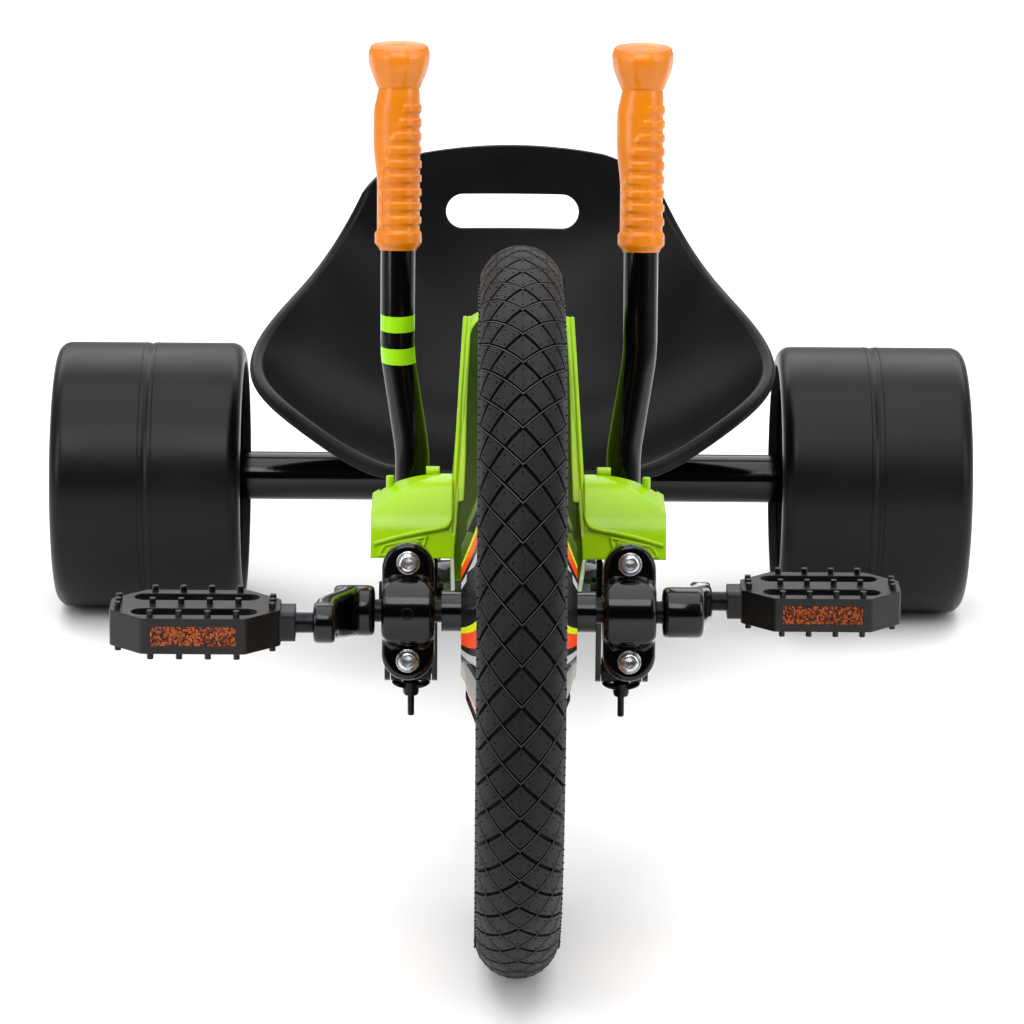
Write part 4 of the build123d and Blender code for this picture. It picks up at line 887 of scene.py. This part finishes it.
for side_name, side in SIDES:
    points, faces = [], []
    for high in (-BOLT_HIGH, BOLT_HIGH):
        for rings in (HEAD_RINGS, NUT_RINGS):
            skin_rings(points, faces, [bolt_ring(side, high, *ring) for ring in rings])
    bolts = piece_from("clamp_bolt_set_" + side_name, points, faces, [zinc], "frame", auto=35)
    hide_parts("clamp_bolts_" + side_name)

# %% [markdown]
# Under each lever's foot hangs a wing bolt: a stud, a turned hub and two flat round ears to turn it by hand.
# The stud and the hub are spun like the clamp bolts; an ear is a flattened disc with a full round edge.

# %% Wing bolts
WING_Y, WING_TOP = -0.215, 158.3 * MM
STEM_RINGS = ((5.0, 0.0), (6.0, -0.6), (6.0, -8.4), (5.2, -10.6), (3.4, -11.0), (2.5, -11.2), (2.5, -26.2),
              (1.9, -26.9), (0.4, -27.0))  # radius and drop, in millimetres
EAR_OUT, EAR_DOWN, EAR_R, EAR_HALF_THICK = 8.0, -5.2, 6.2, 1.9
EAR_DEPTH_SHARE, EAR_RISE = 0.9, 0.28
EAR_STOPS, EAR_SPOKES, STEM_SPOKES = 12, 28, 32


def ear_ring(hub, ear, stop):
    """One ring of an ear, from its upper face (stop 0) over its round edge to its lower face."""
    tip = math.pi * stop / EAR_STOPS
    far, lift = EAR_R * math.sin(tip) ** 0.6, EAR_HALF_THICK * math.cos(tip)
    ring = []
    for c, s in circle(EAR_SPOKES):
        across = ear * (EAR_OUT + far * c)
        up = EAR_DOWN + lift + abs(across) * EAR_RISE
        ring.append(hub + Vector((across, far * s * EAR_DEPTH_SHARE, up)) * MM)
    return ring


for side_name, side in SIDES:
    points, faces = [], []
    hub = Vector((side * CLAMP_X, WING_Y, WING_TOP))
    skin_rings(points, faces, [[hub + Vector((far * c, far * s, down)) * MM for c, s in circle(STEM_SPOKES)]
                               for far, down in STEM_RINGS])
    for ear in (-1, 1):
        skin_rings(points, faces, [ear_ring(hub, ear, stop) for stop in range(EAR_STOPS + 1)])
    wing = piece_from("turned_wing_bolt_" + side_name, points, faces, [black_zinc], "rod_" + side_name,
                      auto=45)
    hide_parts("wing_bolt_" + side_name)

# %% [markdown]
# A small set screw is sunk in the arch of the right-hand cap, over the bearing. Its rim stands half a
# millimetre proud and its middle is dished, which is enough to read as a screw from a step away.

# %% Set screw
# Radius and distance before the axle, in millimetres.
SCREW_RINGS = ((4.4, 26.0), (4.4, 27.1), (4.0, 27.4), (3.4, 27.3), (3.1, 26.6), (2.9, 25.2), (0.4, 25.0))
RIGHT = -1
SCREW_SPOKES = 24
points, faces = [], []
skin_rings(points, faces, [[on_clamp(RIGHT, far * c, out, far * s) for c, s in circle(SCREW_SPOKES)]
                           for far, out in SCREW_RINGS])
screw = piece_from("clamp_set_screw", points, faces, [black_zinc], "frame", auto=35)

# %% [markdown]
# A forged crank has no sharp edge: its arm is a bar with a rounded section that bends outward from the boss
# on the axle to the eye that takes the pedal. Rings of points along the arm, each a rounded rectangle, give
# that bar; the boss and the eye are turned rings with soft corners, and a dust cap closes the boss.

# %% Cranks
CRANK_LONG = 114.0
CRANK_TURN = 12.7
# Radius and distance out from the wheel's middle, in millimetres.
BOSS = ((13, 101.5), (16, 102), (17.5, 103.6), (18, 106), (18, 126.5), (17.4, 128.8), (15.8, 130.1),
        (13.5, 130.5), (10.8, 130.5), (10.4, 129.9), (10.0, 129.8), (9.2, 130.4), (6.0, 131.0), (0.5, 131.2))
EYE_RINGS = ((10.5, 126), (12.6, 126.4), (13.6, 127.4), (14, 129), (14, 138), (13.6, 139.6), (12.6, 140.6),
             (10.5, 141))
ARM_OUT, ARM_BEND, BEND_FROM, BEND_TO = 119.0, 14.5, 6, 84
ARM_HALF_THICK, ARM_HALF_TALL, ARM_TAPER = 7.5, 17.6, 4.0
ARM_STOPS, ARM_SPOKES, TURNED_SPOKES = 40, 32, 40


def on_crank(side, out, along, up):
    """Point in a crank's own axes, in millimetres: out from the wheel, along the arm and across it."""
    angle = math.radians(-CRANK_TURN if side > 0 else 180 - CRANK_TURN)
    y = along * math.cos(angle) - up * math.sin(angle)
    z = along * math.sin(angle) + up * math.cos(angle)
    return AXLE + Vector((side * out, y, z)) * MM


def arm_ring(side, along):
    """A rounded rectangle across the arm; the fourth powers are what square the circle."""
    middle = ARM_OUT + ARM_BEND * ease(along, BEND_FROM, BEND_TO)
    tall = ARM_HALF_TALL - ARM_TAPER * along / CRANK_LONG
    ring = []
    for c, s in circle(ARM_SPOKES):
        corner = (abs(c) ** 4 + abs(s) ** 4) ** -0.25
        ring.append(on_crank(side, middle + ARM_HALF_THICK * corner * c, along, tall * corner * s))
    return ring


for side_name, side in SIDES:
    points, faces = [], []
    for outline, along in ((BOSS, 0.0), (EYE_RINGS, CRANK_LONG)):
        skin_rings(points, faces, [[on_crank(side, out, along + far * c, far * s)
                                    for c, s in circle(TURNED_SPOKES)] for far, out in outline])
    arm = [arm_ring(side, CRANK_LONG * stop / ARM_STOPS) for stop in range(ARM_STOPS + 1)]
    skin_rings(points, faces, arm)
    crank = piece_from("forged_crank_" + side_name, points, faces, [powder_coat], "front_wheel", auto=45)
    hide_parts("crank_" + side_name)

# %% [markdown]
# Several moulded and welded details are round bars that follow a line: beads on plastic, seams, welds.
# Blender's curves could do this, but a bar that is skinned from rings stays one closed shell with known
# points. The line is first smoothed so that a sweep has no corners. A bar may close on itself as a loop,
# and its thickness may ripple, as a weld does.

# %% Bars along a line
BAR_GUIDE = Vector((0.3, 0.9, 0.2))


def smooth_line(stops, parts):
    """Points along a smooth curve through the given stops."""
    line = []
    for index in range(len(stops) - 1):
        before = Vector(stops[max(0, index - 1)])
        here, there = Vector(stops[index]), Vector(stops[index + 1])
        after = Vector(stops[min(len(stops) - 1, index + 2)])
        for part in range(parts):
            t = part / parts
            bend = (2 * before - 5 * here + 4 * there - after) * t * t
            line.append(0.5 * (2 * here + (there - before) * t + bend
                               + (3 * here - before - 3 * there + after) * t ** 3))
    return line + [Vector(stops[-1])]


def bead(points, faces, line, radius, sides=10, loop=None, ripple=0.0):
    """Adds a round bar along a line of points: closed at its ends, or joined into a loop about an axis."""
    rings = []
    for index, spot in enumerate(line):
        before, after = index - 1, index + 1
        if loop:
            after %= len(line)
        else:
            before, after = max(before, 0), min(after, len(line) - 1)
        ahead = (line[after] - line[before]).normalized()
        across = ahead.cross(loop or BAR_GUIDE).normalized()
        other = ahead.cross(across)
        thick = radius * (1 + ripple * math.sin(index * math.pi / 2))
        rings.append([spot + (across * c + other * s) * thick for c, s in circle(sides)])
    skin_rings(points, faces, rings + rings[:1] if loop else rings)
    if loop:
        del faces[-2:]  # a loop has no ends to close


print("bars are guided by", [round(value, 1) for value in BAR_GUIDE])

# %% [markdown]
# Trim that lies on the shroud has to follow its hood, whose front leans back and then rounds over. A modifier
# could press the trim onto the solid, but two lines of sums do it too: a function says how far back the
# face lies at each height, and what sits on it is drawn from that.

# %% The hood's front face, in millimetres
AXLE_Y_MM = -365
HOOD_FOOT, HOOD_KNEE, HOOD_RISE = 279, 295, 33.2
HOOD_FOOT_BACK, HOOD_KNEE_BACK, HOOD_ROUND_BACK = 60, 66, 46


def hood_front(high):
    """How far behind the front axle the hood's front surface lies, at this height (both in mm)."""
    if high < HOOD_KNEE:
        slope = (HOOD_KNEE_BACK - HOOD_FOOT_BACK) / (HOOD_KNEE - HOOD_FOOT)
        return HOOD_FOOT_BACK + (high - HOOD_FOOT) * slope
    rise = (high - HOOD_KNEE) / HOOD_RISE
    return HOOD_KNEE_BACK + HOOD_ROUND_BACK * (1 - math.sqrt(max(0.0, 1 - rise ** 1.6)))


def on_hood(side, across, high, out=0.0):
    """Point on the hood's front face, or a little before it."""
    return Vector((side * across, AXLE_Y_MM + hood_front(high) - out, high)) * MM


def behind_axle(side, stops):
    """Stops given behind the axle, in millimetres, as points on one side."""
    return [Vector((side * x, AXLE_Y_MM + y, z)) * MM for x, y, z in stops]


print("the hood leans back", HOOD_KNEE_BACK - HOOD_FOOT_BACK, "mm below its knee")

# %% [markdown]
# The shroud's own solid is right in size, and small moulded trim finishes it: a rolled bead that runs down
# the cheek's edge and sweeps out along the brow of the hood, two nested outlines in relief below the brow,
# a thin lip turned in toward the tyre, and small tabs beside the lever. All of it is bars and one thin
# strip, joined into one piece on each side, in the lime of the shroud.

# %% Shroud beads, relief, lip and tabs
# Across, behind the axle and up, in millimetres.
CHEEK = ((39.5, 211, 421), (42.5, 160, 376), (45.2, 112, 335), (47.0, 88, 313))
LIP = ((35, 212, 422), (37.5, 161, 377), (38.5, 113, 336), (39.5, 89, 314))
# Across and up, in millimetres, on the hood's front face.
BROW = ((50, 303), (57, 299.5), (70, 297), (88, 293), (104, 288.5))
RELIEF = (((66, 293.5), (96, 287.5), (100, 281), (70, 281), (66, 293.5)),
          ((71, 290.5), (90, 286.5), (93, 283.5), (74, 283.5), (71, 290.5)))
BROW_OUT, BROW_R, RELIEF_R = 0.4, 1.7 * MM, 1.2 * MM
CURVE_PARTS = 8
LIP_UNDER = Vector((0, 0.66, -0.75)) * 1.4 * MM
TAB_Y, TAB_R, CROSS_TAB_R = -0.250, 3.0 * MM, 3.6 * MM
CROSS_TAB = (57, 58, 66, 67)
TABS = ((62, 329), (93, 325))  # across and top
TAB_DROPS = (26, 9, 1, 0)
for side_name, side in SIDES:
    points, faces = [], []
    cheek, lip = behind_axle(side, CHEEK), behind_axle(side, LIP)
    brow = [on_hood(side, across, high, BROW_OUT) for across, high in BROW]
    bead(points, faces, smooth_line(cheek + brow, CURVE_PARTS), BROW_R)
    for outline in RELIEF:
        for here, there in zip(outline, outline[1:]):
            bead(points, faces, [on_hood(side, *here), on_hood(side, *there)], RELIEF_R, sides=8)
    skin_rings(points, faces, [[there, here, here + LIP_UNDER, there + LIP_UNDER]
                               for here, there in zip(smooth_line(cheek, CURVE_PARTS),
                                                      smooth_line(lip, CURVE_PARTS))])
    cross_tab = [Vector((side * across * MM, TAB_Y, TABS[0][1] * MM)) for across in CROSS_TAB]
    bead(points, faces, cross_tab, CROSS_TAB_R, sides=12)
    for across, top in TABS:
        tab = [Vector((side * across * MM, TAB_Y, (top - down) * MM)) for down in TAB_DROPS]
        bead(points, faces, tab, TAB_R, sides=12)
    trim = piece_from("shroud_trim_" + side_name, points, faces, [lime], "frame", auto=60)

# %% [markdown]
# The rear wheels were blown in a mould of two halves. Where the halves met, the skin keeps a band with a fine
# raised line along each side. Each line is a thin bead bent into a circle round the wheel.

# %% Seam lines on the rear wheels
REAR_AXLE = Vector((0, 0.505, 0.118))
ROLLER_SKIN_R = 117.9
SEAM_ACROSS = (314.0, 325.0)
SEAM_R, SEAM_STEPS = 0.6 * MM, 120
for side_name, side in SIDES:
    points, faces = [], []
    for across in SEAM_ACROSS:
        line = [REAR_AXLE + Vector((side * across, ROLLER_SKIN_R * c, ROLLER_SKIN_R * s)) * MM
                for c, s in circle(SEAM_STEPS)]
        bead(points, faces, line, SEAM_R, sides=6, loop=Vector((1, 0, 0)))
    seam = piece_from("roller_seam_" + side_name, points, faces, [roller_skin], "rear_roller_" + side_name,
                      auto=60)

# %% [markdown]
# The frame is welded by hand, and each weld leaves a rippled bead round its joint. On the rear axle the
# upright sleeve and the rod lugs stand on a round tube, so the bead's height follows the tube: at a
# distance y from its middle the tube's skin is the square root of radius squared less y squared. The
# radius of the bead swells and thins once every 4 mm, as the torch moved on.

# %% Weld beads
BEAM_R = 21.5
WELD_R, WELD_RIPPLE = 1.7 * MM, 0.3
# Columns: place across, radius of what stands on the tube, and 1 for its top or -1 for its underside.
WELDS = ((0.0, 17.0, -1), (0.0, 17.0, 1), (46.0, 11.0, 1), (-46.0, 11.0, 1))
points, faces = [], []
for middle, radius, end in WELDS:
    steps = int(2 * math.pi * radius) // 4 * 4
    line = []
    for c, s in circle(steps):
        y = radius * s
        high = end * math.sqrt(BEAM_R ** 2 - y ** 2)
        line.append(REAR_AXLE + Vector((middle + radius * c, y, high)) * MM)
    bead(points, faces, line, WELD_R, sides=8, loop=Vector((0, 0, 1)), ripple=WELD_RIPPLE)
axle_welds = piece_from("rear_axle_welds", points, faces, [powder_coat], "rear_axle", auto=60)
